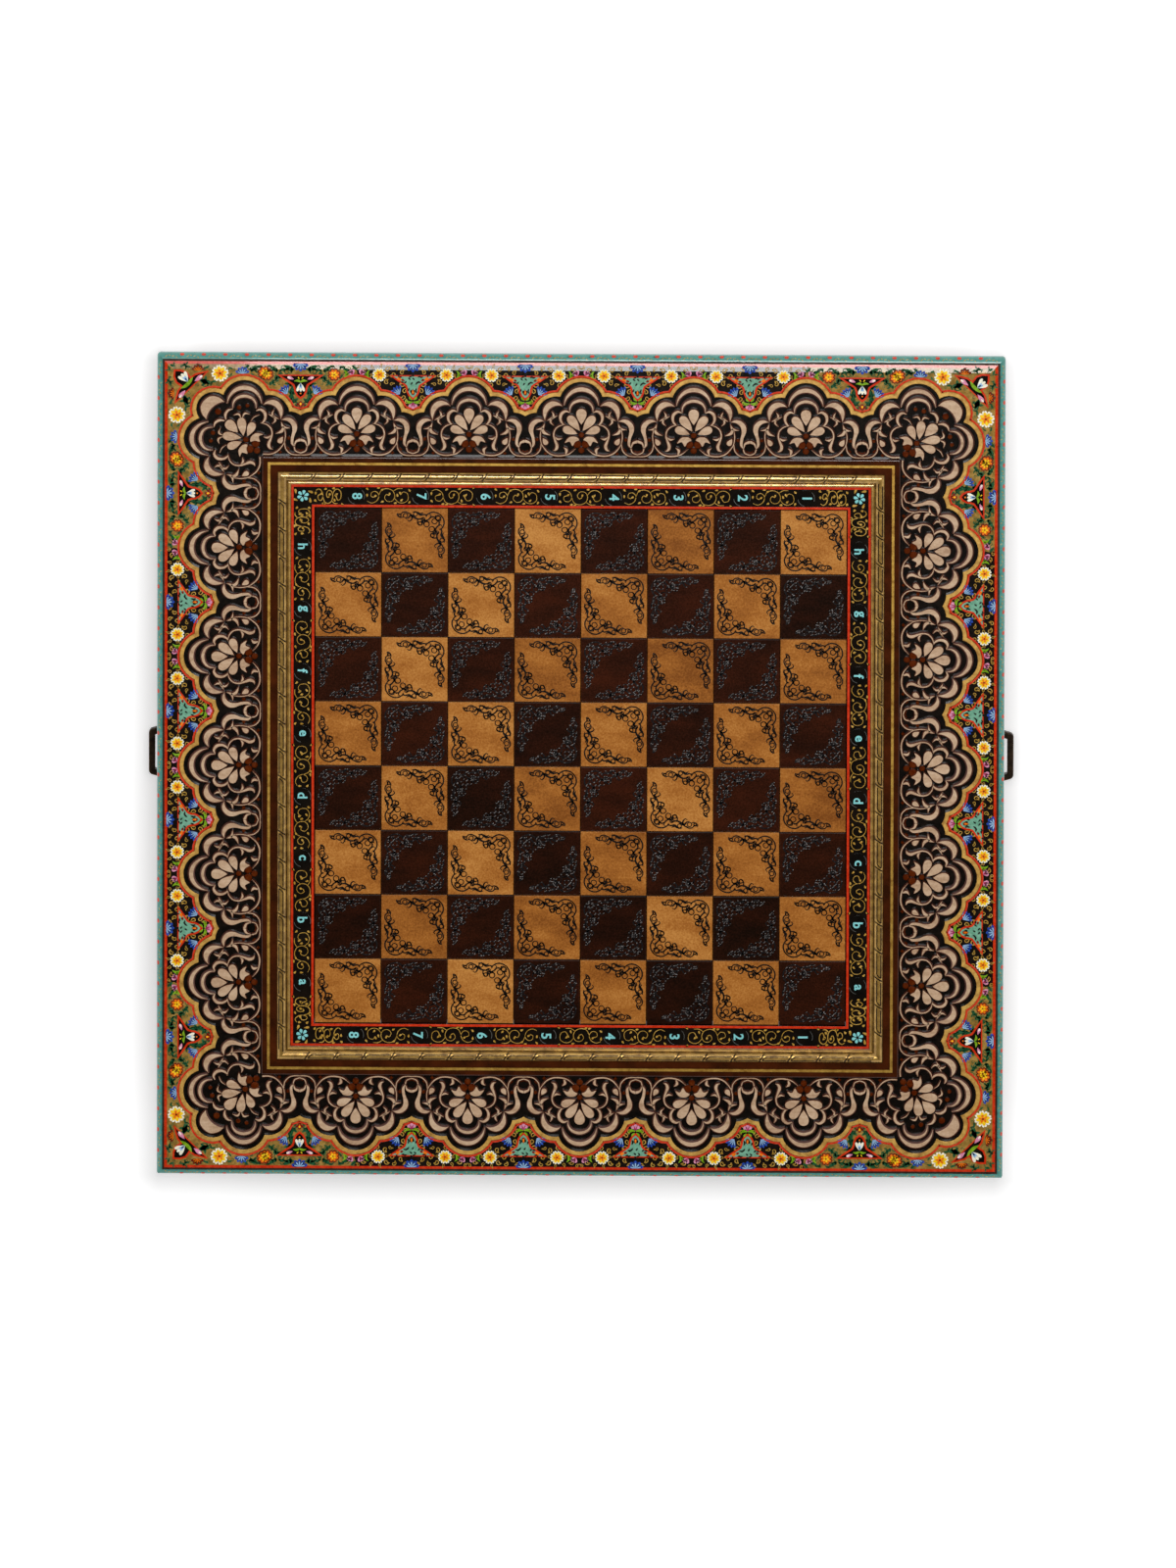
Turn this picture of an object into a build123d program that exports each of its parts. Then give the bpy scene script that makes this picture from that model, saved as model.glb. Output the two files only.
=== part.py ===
from build123d import *
import os
from math import atan2, degrees, sqrt

os.makedirs("parts", exist_ok=True)

# A square carved and painted chess board on a low box, with one drawer at the left and one at the
# right, each holding the sixteen men of one colour. The board lies flat. X runs to the right, Y
# away from the front edge and Z up. The origin is below the centre, on the surface that the felt
# pads stand on. All sizes are in millimetres.

# Playing field and the rings around it, from the inside out
SQUARES = 8            # squares along one side of the field
SQUARE = 39.2          # pitch of the squares
SQUARE_GAP = 0.4       # groove between two squares
FIELD_GAP = 0.2        # joint between the field and the lettered strips
STRIP_W = 14.1         # lettered strip
RIBBON_W = 7.9         # gilt ribbon moulding
FRAME_W = 9.2          # flat brown frame
BORDER_W = 57.8        # carved and painted border
EDGE_W = 4.0           # green edge moulding

# Thicknesses, from the floor up
FOOT_T = 1.5           # felt pad
BOTTOM_T = 5.0         # bottom panel
OPEN_H = 36.5          # drawer opening
RAIL_H = 4.0           # wall above the drawer opening
BASE_T = 6.0           # base panel of the top
FIELD_T = 5.0          # squares and lettered strips
BORDER_T = 6.0         # carved border
FRAME_T = 7.0          # brown frame
RIBBON_T = 8.4         # ribbon moulding, to its crown
EDGE_T = 5.2           # edge moulding, to its top

# Shape of the mouldings
BEVEL_W = 5.0          # bevel along the outer rim of the carved border
EDGE_R = 3.4           # quarter round of the edge moulding
CORNER_R = 2.0         # rounded corners of the board, seen from above
FRAME_R = 0.8          # eased edges of the brown frame
RIBBON_STEP_W = 0.9    # flat fillet on the inner side of the ribbon moulding
RIBBON_STEP_T = 5.8    # height of that fillet
BASE_INSET = 2.0       # base panel behind the edge moulding
BASE_CHAMFER_W = 5.0   # chamfer under the rim of the base panel, and its height
BASE_CHAMFER_H = 4.0
SQUARE_EASE = 0.35     # eased upper edges of a square

# Carved ground of the border: a row of lobed arches along each side
CARVE_DEPTH = 2.8      # depth of the carved ground
ARCHES = 7             # arches along a side, the outer two shared with the corners
ARCH_OUT = 10.4        # centre of a corner arch beyond the brown frame
LOBE_HALF = 12.4       # half width of the middle lobe
LOBE_T = 46.1          # reach of the middle lobe from the brown frame
NOTCH_T = 37.0         # reach of the notch beside it
SHOULDER_S = 22.0      # a point on the side lobe, along the side
SHOULDER_T = 34.6      # and its reach
HEEL_S = 6.7           # end of the side lobe, from the cusp
HEEL_T = 27.2          # and its reach
CUSP_T = 25.0          # reach of the cusp between two arches
CORNER_LOBE_T = 35.8   # reach of the lobe on the diagonal, on both axes

# Box under the top
OVERHANG = 16.0        # top beyond the walls
WALL_T = 9.0
CENTER_T = 9.0         # divider between the two drawers
OPEN_W = 320.0         # width of a drawer opening
BLOCK_W = 18.0         # glue block in each corner
GUIDE_W = 10.0         # guide beside a drawer
GUIDE_H = 12.0
PAD_R = 9.0            # felt pad
PAD_INSET = 24.0       # centre of a pad from the walls' outer faces
SCREW_R = 1.75         # shank of a bottom screw
SCREW_HEAD_R = 3.5
SCREW_HEAD_T = 2.2
SCREW_BITE = 14.0      # length of the screw above the bottom panel
SCREW_SLACK = 0.1      # hole around a screw, on the radius
SCREW_PITCH = 150.0    # bottom screws along the front and back walls

# Drawers
TRAVEL = 150.0         # how far a drawer pulls out
RUN_GAP = 0.3          # under a drawer
TOP_GAP = 0.5          # over a drawer front
SIDE_GAP = 0.6         # beside a drawer
BACK_GAP = 1.0         # behind a closed drawer
STOP_GAP = 0.4         # left at the stop when the drawer is fully out
LIFT_GAP = 0.8         # over the raised rear part of a drawer side
D_FRONT_T = 10.0
D_SIDE_T = 6.0
D_BACK_T = 6.0
D_BOTTOM_T = 3.0
FELT_T = 1.0
GRID_T = 4.0           # boards of the divider grid
GRID_H = 26.0
GRID_GAP = 0.3         # fit of the divider grid in its drawer
ROW_LONG = 84.0        # row of the king, queen and bishops
ROW_MIDDLE = 60.0      # row of the knights and rooks
BAY_LONG = 130.0       # occupied length of each row
BAY_MIDDLE = 122.0
BAY_PAWNS = 216.0
MAN_GAP = 1.5          # between two men side by side
MAN_REST = 0.2         # between a man and the felt

# Drawer pulls
PULL_PAST = 5.4        # bar beyond the edge of the top
PULL_BAR_L = 21.0      # straight length of the bar, inside
PULL_BAR_T = 3.8
PULL_H = 4.8           # height of bar and arms
PULL_ARM_T = 3.0
PULL_SPAN = 36.0       # between the feet
PULL_FOOT_R = 4.6
PULL_FOOT_TIP_R = 2.6
PULL_FOOT_L = 8.0
PULL_EASE = 0.9
PULL_SCREW_R = 1.25
PULL_SCREW_BITE = 5.0
PULL_SCREW_HEAD_R = 3.0
PULL_SCREW_HEAD_T = 1.8

# Chessmen: base radius, height and radius of the head that a lying man rests on
PAWN = (12.0, 42.0, 7.4)
ROOK = (13.0, 46.0, 9.6)
KNIGHT = (13.5, 55.0, 6.0)
BISHOP = (13.5, 63.0, 7.2)
QUEEN = (14.4, 72.0, 9.4)
KING = (14.4, 80.0, 9.6)
ROOK_TOWER = 15.0      # from the collar to the top of each head
BISHOP_MITRE = 24.0
QUEEN_CROWN = 25.0
KING_CROWN = 30.0
CROWN_RIM = 14.0       # rim of the king's and queen's crown above the collar
KING_CROSS = 9.0       # cross on the king, and the thickness of its arms
KING_ARM = 3.0
KNOB_R = 2.0           # ball on the queen and on the bishop
COLLAR_T = 1.6         # ring under a head
ROOK_SLOT = 2.6        # slots across the rook's rim
MITRE_SLOT = 1.4       # slot in the bishop's mitre

# Half sizes of the rings, from the centre
FIELD = SQUARES * SQUARE / 2
STRIP_IN = FIELD + FIELD_GAP
STRIP_OUT = STRIP_IN + STRIP_W
RIBBON_OUT = STRIP_OUT + RIBBON_W
FRAME_OUT = RIBBON_OUT + FRAME_W
BORDER_OUT = FRAME_OUT + BORDER_W
PANEL = BORDER_OUT + EDGE_W
BODY = PANEL - OVERHANG

# Levels
FLOOR_Z = FOOT_T + BOTTOM_T
RAIL_Z = FLOOR_Z + OPEN_H
WALL_Z = RAIL_Z + RAIL_H
TOP_Z = WALL_Z + BASE_T

SIDES = {"right": 0, "back": 90, "left": 180, "front": 270}
CORNERS = [(1, 1), (-1, 1), (-1, -1), (1, -1)]


def block(x0, x1, y0, y1, z0, z1):
    """Box between two corners."""
    return Pos((x0 + x1) / 2, (y0 + y1) / 2, (z0 + z1) / 2) * Box(x1 - x0, y1 - y0, z1 - z0)


def outline(*curves):
    """Face bounded by curves that join end to end."""
    return Face(Wire([edge for curve in curves for edge in curve.edges()]))


def save(node, *solids):
    """Writes the solids of one node."""
    shape = solids[0] if len(solids) == 1 else Compound(list(solids))
    export_step(shape, f"parts/{node}.step")


def mitred(section, inner, outer):
    """Strip along the right side of the board, mitred at both ends, from its section in X and Z."""
    strip = extrude(Plane.XZ * section, amount=outer, both=True)
    mitre = Polyline((inner, -inner), (outer, -outer), (outer, outer), (inner, inner), close=True)
    return strip & extrude(outline(mitre), amount=2 * TOP_Z)


def save_ring(name, strip):
    """Writes the four strips of a ring."""
    for side, turn in SIDES.items():
        save(f"{name}_{side}", Rot(0, 0, turn) * strip)


# Spacing of the arches, whose outer two stand at the corners
ARCH_PITCH = 2 * (FRAME_OUT + ARCH_OUT) / (ARCHES - 1)


def arch_points():
    """Half an arch, from the notch beside its middle lobe to the cusp."""
    cusp_s = ARCH_PITCH / 2
    notch = (LOBE_HALF, NOTCH_T)
    shoulder = (SHOULDER_S, SHOULDER_T)
    heel = (cusp_s - HEEL_S, HEEL_T)
    throat = (cusp_s - HEEL_S / 2, (HEEL_T + CUSP_T) / 2 + HEEL_S / 12)
    return notch, shoulder, heel, throat, (cusp_s, CUSP_T)


def carved_side():
    """Curves of the carved ground along the back, from the left corner to the right one."""
    notch, shoulder, heel, throat, cusp = arch_points()

    def at(centre, sign, point):
        return (centre + sign * point[0], FRAME_OUT + point[1])

    diagonal = FRAME_OUT + CORNER_LOBE_T
    first = -(FRAME_OUT + ARCH_OUT)
    start = at(first, -1, notch)
    curves = [ThreePointArc((-start[1], -start[0]), (-diagonal, diagonal), start)]
    for arch in range(ARCHES):
        centre = first + arch * ARCH_PITCH
        left = [at(centre, -1, point) for point in (cusp, throat, heel, shoulder, notch)]
        right = [at(centre, 1, point) for point in (notch, shoulder, heel, throat, cusp)]
        if arch > 0:
            curves.append(ThreePointArc(*left[:3]))
            curves.append(ThreePointArc(*left[2:]))
        curves.append(ThreePointArc(left[-1], (centre, FRAME_OUT + LOBE_T), right[0]))
        if arch < ARCHES - 1:
            curves.append(ThreePointArc(*right[:3]))
            curves.append(ThreePointArc(*right[2:]))
    return curves


def top_panel():
    """Base panel that carries every ring, with its underside chamfered back towards the walls."""
    half = PANEL - BASE_INSET
    panel = block(-half, half, -half, half, WALL_Z, TOP_Z)
    rim = panel.faces().sort_by(Axis.Z)[0].edges()
    return chamfer(rim, length=BASE_CHAMFER_H, length2=BASE_CHAMFER_W)


def edge_strip():
    top = TOP_Z + EDGE_T
    bow = EDGE_R * (1 - 0.5 ** 0.5)
    above = (PANEL - EDGE_R, top)
    beside = (PANEL, top - EDGE_R)
    section = outline(
        Polyline(above, (BORDER_OUT, top), (BORDER_OUT, TOP_Z), (PANEL, TOP_Z), beside),
        ThreePointArc(beside, (PANEL - bow, top - bow), above),
    )
    plan = extrude(RectangleRounded(2 * PANEL, 2 * PANEL, CORNER_R), amount=2 * TOP_Z)
    return mitred(section, BORDER_OUT, PANEL) & plan


def carved_border():
    """Carved border in one piece, with the lobed ground sunk along the brown frame."""
    drop = BORDER_T - EDGE_T
    top = TOP_Z + BORDER_T
    plate = block(-BORDER_OUT, BORDER_OUT, -BORDER_OUT, BORDER_OUT, TOP_Z, top)
    plate = chamfer(plate.faces().sort_by(Axis.Z)[-1].edges(), length=drop, length2=BEVEL_W)
    curves = []
    for turn in range(4):
        curves += [Rot(0, 0, -90 * turn) * curve for curve in carved_side()]
    ground = extrude(outline(*curves), amount=2 * CARVE_DEPTH, dir=(0, 0, 1))
    ground = Pos(0, 0, top - CARVE_DEPTH) * ground
    window = block(-FRAME_OUT, FRAME_OUT, -FRAME_OUT, FRAME_OUT, 0, 2 * TOP_Z)
    return plate - ground - window


def frame_strip():
    top = TOP_Z + FRAME_T
    bow = FRAME_R * (1 - 0.5 ** 0.5)
    above = (FRAME_OUT - FRAME_R, top)
    beside = (FRAME_OUT, top - FRAME_R)
    section = outline(
        Polyline(above, (RIBBON_OUT, top), (RIBBON_OUT, TOP_Z), (FRAME_OUT, TOP_Z), beside),
        ThreePointArc(beside, (FRAME_OUT - bow, top - bow), above),
    )
    return mitred(section, RIBBON_OUT, FRAME_OUT)


def ribbon_strip():
    """Half round on a straight foot, with a flat fillet on its inner side."""
    step = TOP_Z + RIBBON_STEP_T
    inner = STRIP_OUT + RIBBON_STEP_W
    crown = ((inner + RIBBON_OUT) / 2, TOP_Z + RIBBON_T)
    foot = [(inner, step), (STRIP_OUT, step), (STRIP_OUT, TOP_Z), (RIBBON_OUT, TOP_Z), (RIBBON_OUT, step)]
    section = outline(ThreePointArc(foot[-1], crown, foot[0]), Polyline(*foot))
    return mitred(section, STRIP_OUT, RIBBON_OUT)


def lettered_strip():
    section = Rectangle(STRIP_W, FIELD_T)
    return mitred(Pos((STRIP_IN + STRIP_OUT) / 2, TOP_Z + FIELD_T / 2) * section, STRIP_IN, STRIP_OUT)


def squares(dark):
    """The 32 squares of one colour. The square at the far left is dark."""
    side = SQUARE - SQUARE_GAP
    tile = block(-side / 2, side / 2, -side / 2, side / 2, TOP_Z, TOP_Z + FIELD_T)
    tile = chamfer(tile.faces().sort_by(Axis.Z)[-1].edges(), length=SQUARE_EASE)
    cells = []
    for column in range(SQUARES):
        for row in range(SQUARES):
            if ((column + row) % 2 == 0) == dark:
                x = -FIELD + (column + 0.5) * SQUARE
                y = FIELD - (row + 0.5) * SQUARE
                cells.append(Pos(x, y, 0) * tile)
    return cells


def screw_spots():
    """Centres of the bottom screws, under the middle of each wall."""
    line = BODY - WALL_T / 2
    spots = [(x * SCREW_PITCH, y * line) for x in (-1, 0, 1) for y in (-1, 1)]
    stile = (OPEN_W / 2 + BODY) / 2
    return spots + [(x * line, y * stile) for x in (-1, 1) for y in (-1, 1)]


def bottom_screw(slack=0.0):
    """Flat-head screw from below, or with slack the hole for it."""
    head = Cone(SCREW_HEAD_R + slack, SCREW_R + slack, SCREW_HEAD_T)
    shank_l = BOTTOM_T + SCREW_BITE - SCREW_HEAD_T + slack
    shank = Cylinder(SCREW_R + slack, shank_l)
    head = Pos(0, 0, FOOT_T + SCREW_HEAD_T / 2) * head
    return head + Pos(0, 0, FOOT_T + SCREW_HEAD_T + shank_l / 2) * shank


def screw_holes():
    hole = bottom_screw(SCREW_SLACK)
    return Compound([Pos(x, y, 0) * hole for x, y in screw_spots()])


def bottom_panel():
    panel = block(-BODY, BODY, -BODY, BODY, FOOT_T, FLOOR_Z)
    return panel - screw_holes()


def long_wall():
    """Back wall, over the whole width of the box."""
    wall = block(-BODY, BODY, BODY - WALL_T, BODY, FLOOR_Z, WALL_Z)
    return wall - screw_holes()


def drawer_wall():
    """Right wall, between the long walls, with its drawer opening."""
    reach = BODY - WALL_T
    wall = block(reach, BODY, -reach, reach, FLOOR_Z, WALL_Z)
    opening = block(reach - 1, BODY + 1, -OPEN_W / 2, OPEN_W / 2, FLOOR_Z - 1, RAIL_Z)
    return wall - opening - screw_holes()


def corner_blocks():
    """Triangular glue blocks that tie the walls to the bottom."""
    inner = BODY - WALL_T
    foot = Polyline((inner, inner), (inner - BLOCK_W, inner), (inner, inner - BLOCK_W), close=True)
    prism = Pos(0, 0, FLOOR_Z) * extrude(outline(foot), amount=WALL_Z - FLOOR_Z)
    return [Rot(0, 0, 90 * turn) * prism for turn in range(4)]


def drawer_guides():
    """Strips on the bottom panel beside both drawers."""
    inner = OPEN_W / 2
    spans = [(CENTER_T / 2, BODY - WALL_T), (WALL_T - BODY, -CENTER_T / 2)]
    bands = [(inner, inner + GUIDE_W), (-inner - GUIDE_W, -inner)]
    return [block(*span, *band, FLOOR_Z, FLOOR_Z + GUIDE_H) for span in spans for band in bands]


def foot_pads():
    """Felt discs under the bottom panel."""
    spot = BODY - PAD_INSET
    return [Pos(x * spot, y * spot, FOOT_T / 2) * Cylinder(PAD_R, FOOT_T) for x, y in CORNERS]


# Drawer at the right, closed. The drawer at the left is the same one turned about Z.
D_HALF = OPEN_W / 2 - SIDE_GAP
D_REAR = CENTER_T / 2 + BACK_GAP
D_FACE = BODY
D_INNER = D_FACE - D_FRONT_T
D_LOW = FLOOR_Z + RUN_GAP
D_TOP = RAIL_Z - TOP_GAP
D_FLOOR = D_LOW + D_BOTTOM_T
FELT_Z = D_FLOOR + FELT_T
BAY_X = D_REAR + D_BACK_T
BAY_Y = D_HALF - D_SIDE_T
PULL_Z = (FLOOR_Z + RAIL_Z) / 2
PULL_REACH = OVERHANG + PULL_PAST


def pull_screw(slack=0.0):
    """Screw along X through the drawer front into a foot of the pull."""
    length = D_FRONT_T + PULL_SCREW_BITE + slack
    shank = Rot(0, 90, 0) * Cylinder(PULL_SCREW_R + slack, length)
    shank = Pos(D_INNER + length / 2, 0, PULL_Z) * shank
    if slack:
        return shank
    head = Rot(0, 90, 0) * Cylinder(PULL_SCREW_HEAD_R, PULL_SCREW_HEAD_T)
    return shank + Pos(D_INNER - PULL_SCREW_HEAD_T / 2, 0, PULL_Z) * head


def both_feet(piece):
    """Copies of a piece at the two feet of the pull."""
    return [Pos(0, sign * PULL_SPAN / 2, 0) * piece for sign in (-1, 1)]


def drawer_front():
    front = block(D_INNER, D_FACE, -D_HALF, D_HALF, D_LOW, D_TOP)
    return front - Compound(both_feet(pull_screw(SCREW_SLACK)))


def drawer_side():
    """Side at +Y. Its rear part stands higher and meets the wall above the opening as a stop."""
    stop = BODY - WALL_T - TRAVEL - STOP_GAP
    low = block(D_REAR, D_INNER, BAY_Y, D_HALF, D_LOW, D_TOP)
    high = block(D_REAR, stop, BAY_Y, D_HALF, D_TOP, WALL_Z - LIFT_GAP)
    return low + high


def drawer_back():
    return block(D_REAR, BAY_X, -BAY_Y, BAY_Y, D_LOW, D_TOP)


def drawer_bottom():
    return block(BAY_X, D_INNER, -BAY_Y, BAY_Y, D_LOW, D_FLOOR)


def drawer_felt():
    return block(BAY_X, D_INNER, -BAY_Y, BAY_Y, D_FLOOR, FELT_Z)


# Rows of the divider grid, from the rear of the drawer to its front
ROW_1 = BAY_X + ROW_LONG
ROW_2 = ROW_1 + GRID_T + ROW_MIDDLE


def drawer_grid():
    """Crossed boards that part the drawer into bays for the men and three free bays."""
    reach = BAY_Y - GRID_GAP
    top = FELT_Z + GRID_H
    grid = block(ROW_1, ROW_1 + GRID_T, -reach, reach, FELT_Z, top)
    grid += block(ROW_2, ROW_2 + GRID_T, -reach, reach, FELT_Z, top)
    spans = [
        (BAY_X + GRID_GAP, ROW_1, BAY_LONG),
        (ROW_1 + GRID_T, ROW_2, BAY_MIDDLE),
        (ROW_2 + GRID_T, D_INNER - GRID_GAP, BAY_PAWNS),
    ]
    for x0, x1, bay in spans:
        y0 = -BAY_Y + bay
        grid += block(x0, x1, y0, y0 + GRID_T, FELT_Z, top)
    return grid


def pull():
    """Fixed pull: a flat bar on two flared arms, each with a tapered foot."""
    half = PULL_SPAN / 2
    tip = PULL_REACH - PULL_BAR_T
    outer = Polyline(
        (0, -half - PULL_ARM_T / 2), (PULL_REACH, -PULL_BAR_L / 2 - PULL_ARM_T),
        (PULL_REACH, PULL_BAR_L / 2 + PULL_ARM_T), (0, half + PULL_ARM_T / 2), close=True)
    inner = Polyline(
        (0, -half + PULL_ARM_T / 2), (tip, -PULL_BAR_L / 2),
        (tip, PULL_BAR_L / 2), (0, half - PULL_ARM_T / 2), close=True)
    bow = extrude(outline(outer), amount=PULL_H / 2, both=True)
    bow = fillet(bow.edges().filter_by(Axis.Z).group_by(Axis.X)[-1], PULL_ARM_T)
    bow -= extrude(outline(inner), amount=PULL_H, both=True)
    rims = [edge for edge in bow.faces().sort_by(Axis.X)[-1].edges() if abs(edge.center().Z) > PULL_H / 4]
    bow = fillet(rims, PULL_EASE)
    foot = Rot(0, 90, 0) * Cone(PULL_FOOT_R, PULL_FOOT_TIP_R, PULL_FOOT_L)
    for copy in both_feet(Pos(PULL_FOOT_L / 2, 0, 0) * foot):
        bow += copy
    bow = Pos(D_FACE, 0, PULL_Z) * bow
    return bow - Compound(both_feet(pull_screw(SCREW_SLACK)))


# Chessmen, standing on the origin


def turned(base_r, collar_z, collar_r, neck_r, head):
    """Man turned from one piece: moulded foot, waisted stem, collar, then the curves of the head."""
    foot_z = 0.55 * base_r
    shelf_r = 0.72 * base_r
    stem_z = foot_z + 0.09 * base_r
    waist = (neck_r + 0.16 * (shelf_r - neck_r), stem_z + 0.5 * (collar_z - stem_z))
    curves = [
        Polyline((0, 0), (base_r, 0), (base_r, 0.2 * base_r)),
        ThreePointArc((base_r, 0.2 * base_r), (0.92 * base_r, 0.42 * base_r), (shelf_r, foot_z)),
        Line((shelf_r, foot_z), (shelf_r, stem_z)),
        ThreePointArc((shelf_r, stem_z), waist, (neck_r, collar_z)),
        Polyline((neck_r, collar_z), (collar_r, collar_z + 0.2 * COLLAR_T), (collar_r, collar_z + COLLAR_T)),
    ]
    section = outline(*curves, *head, Line(head[-1] @ 1, (0, 0)))
    return revolve(Plane.XZ * section, Axis.Z)


def knob(neck_r, ball_r, height):
    """Start and arc of a ball on the axis, from its neck to its top."""
    middle = height - ball_r
    start = (neck_r, middle - sqrt(ball_r**2 - neck_r**2))
    return start, ThreePointArc(start, (ball_r, middle), (0, height))


def pawn():
    base_r, height, head_r = PAWN
    neck_r = 0.5 * head_r
    start, ball = knob(neck_r, head_r, height)
    head = [Line((1.08 * head_r, start[1]), start), ball]
    return turned(base_r, start[1] - COLLAR_T, 1.08 * head_r, neck_r, head)


def rook():
    base_r, height, head_r = ROOK
    collar_z = height - ROOK_TOWER
    low = collar_z + COLLAR_T
    lip = low + 0.4 * ROOK_TOWER
    well = height - 0.2 * ROOK_TOWER
    rim = 0.75 * head_r
    head = [
        Line((head_r, low), (0.8 * head_r, low)),
        ThreePointArc((0.8 * head_r, low), (0.84 * head_r, (low + lip) / 2), (head_r, lip)),
        Polyline((head_r, lip), (head_r, height), (rim, height), (rim, well), (0, well)),
    ]
    tower = turned(base_r, collar_z, head_r, 0.68 * head_r, head)
    slot = Pos(0, 0, height) * Box(3 * head_r, ROOK_SLOT, height - well)
    return tower - slot - Rot(0, 0, 90) * slot


def bishop():
    base_r, height, head_r = BISHOP
    collar_z = height - BISHOP_MITRE
    low = collar_z + COLLAR_T
    collar_r = 1.16 * head_r
    tip, ball = knob(0.6 * KNOB_R, 0.9 * KNOB_R, height)
    neck = (0.55 * head_r, low)
    cheek = (head_r, low + 0.3 * BISHOP_MITRE)
    head = [Line((collar_r, low), neck), ThreePointArc(neck, cheek, tip), ball]
    mitre = turned(base_r, collar_z, collar_r, 0.5 * head_r, head)
    cut = Rot(0, -38, 0) * Box(1.6 * head_r, 3 * head_r, MITRE_SLOT)
    return mitre - Pos(0.7 * head_r, 0, low + BISHOP_MITRE / 2) * cut


def crowned(size, crown, top):
    """Queen or king up to the rim of the crown, closed by the curves of its top."""
    base_r, height, head_r = size
    collar_z = height - crown
    low = collar_z + COLLAR_T
    rim_z = low + CROWN_RIM
    neck = (0.55 * head_r, low)
    flare = (0.6 * head_r, low + 0.57 * CROWN_RIM)
    head = [Line((head_r, low), neck), ThreePointArc(neck, flare, (head_r, rim_z))]
    return turned(base_r, collar_z, head_r, 0.46 * head_r, head + top(head_r, rim_z, height))


def queen():
    def top(head_r, rim_z, height):
        tip, ball = knob(0.7 * KNOB_R, 1.1 * KNOB_R, height)
        lip = (0.8 * head_r, rim_z + 0.1 * head_r)
        bowl = ThreePointArc(lip, (0.5 * head_r, rim_z + 0.3 * head_r), tip)
        return [Line((head_r, rim_z), lip), bowl, ball]

    return crowned(QUEEN, QUEEN_CROWN, top)


def king():
    def top(head_r, rim_z, height):
        dome = height - KING_CROSS
        lip = (0.85 * head_r, rim_z + 0.08 * head_r)
        crest = (0.55 * head_r, rim_z + 0.75 * (dome - rim_z))
        return [Line((head_r, rim_z), lip), ThreePointArc(lip, crest, (0, dome))]

    body = crowned(KING, KING_CROWN, top)
    height = KING[1]
    post = Box(KING_ARM, KING_ARM, 1.2 * KING_CROSS)
    bar = Box(KING_ARM, 0.8 * KING_CROSS, KING_ARM)
    return body + Pos(0, 0, height - 0.6 * KING_CROSS) * post + Pos(0, 0, height - 0.42 * KING_CROSS) * bar


def knight():
    """Turned foot under a horse's head cut from a board. Its outline is in shares of the height."""
    base_r, height, head_t = KNIGHT
    foot_z = 0.55 * base_r
    shelf = (0.72 * base_r, foot_z)
    foot = outline(
        Polyline((0, 0), (base_r, 0), (base_r, 0.2 * base_r)),
        ThreePointArc((base_r, 0.2 * base_r), (0.92 * base_r, 0.42 * base_r), shelf),
        Polyline(shelf, (0.66 * base_r, 0.77 * base_r), (0, 0.77 * base_r), (0, 0)),
    )

    def at(x, z):
        return (x * height, z * height)

    nape, poll, ear, brow = at(-0.145, 0.17), at(-0.018, 0.91), at(0.025, 1), at(0.065, 0.9)
    lip, chest = at(0.207, 0.6), at(0.145, 0.17)
    side = outline(
        Spline(nape, at(-0.175, 0.39), at(-0.118, 0.745), poll),
        Polyline(poll, ear, brow),
        Spline(brow, at(0.145, 0.8), at(0.225, 0.67), lip),
        Spline(lip, at(0.116, 0.62), at(0.084, 0.545), at(0.138, 0.33), chest),
        Line(chest, nape),
    )
    return revolve(Plane.XZ * foot, Axis.Z) + extrude(Plane.XZ * side, amount=head_t, both=True)


def lying(man, size, x, y):
    """Lays a man on the felt along X, on its foot and its head, with its foot at x."""
    base_r, height, head_r = size
    dip = degrees(atan2(base_r - head_r, height - head_r))
    laid = Rot(0, 90 + dip, 0) * man
    box = laid.bounding_box()
    return Pos(x - box.min.X, y, FELT_Z + MAN_REST - box.min.Z) * laid


def row_of(men, x):
    """Men side by side from the -Y end of a row. Each entry is a name, a solid and its sizes."""
    placed = {}
    y = -BAY_Y + MAN_GAP
    for name, man, size in men:
        y += size[0]
        placed.setdefault(name, []).append(lying(man, size, x, y))
        y += size[0] + MAN_GAP
    return placed


def chessmen():
    """The sixteen men of one colour in their rows, by name."""
    bishops = ("bishops", bishop(), BISHOP)
    rooks = ("rooks", rook(), ROOK)
    knights = ("knights", Rot(0, 0, 90) * knight(), KNIGHT)
    pawns = ("pawns", pawn(), PAWN)
    royals = [("queen", queen(), QUEEN), ("king", king(), KING)]
    placed = row_of([bishops, *royals, bishops], BAY_X + MAN_GAP)
    placed |= row_of([rooks, knights, knights, rooks], ROW_1 + GRID_T + MAN_GAP)
    placed |= row_of([pawns] * 8, ROW_2 + GRID_T + MAN_GAP)
    return placed


def drawer_nodes():
    """Every piece of the right drawer with its men, by name."""
    side = drawer_side()
    nodes = {
        "drawer_front": [drawer_front()],
        "drawer_side_back": [side],
        "drawer_side_front": [mirror(side, Plane.XZ)],
        "drawer_rear": [drawer_back()],
        "drawer_bottom": [drawer_bottom()],
        "drawer_felt": [drawer_felt()],
        "drawer_grid": [drawer_grid()],
        "pull": [pull()],
        "pull_screws": both_feet(pull_screw()),
    }
    return nodes


# Top
save("top_panel", top_panel())
save_ring("edge_moulding", edge_strip())
save("carved_border", carved_border())
save_ring("frame_strip", frame_strip())
save_ring("ribbon_moulding", ribbon_strip())
save_ring("lettered_strip", lettered_strip())
save("light_squares", *squares(dark=False))
save("dark_squares", *squares(dark=True))

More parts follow.
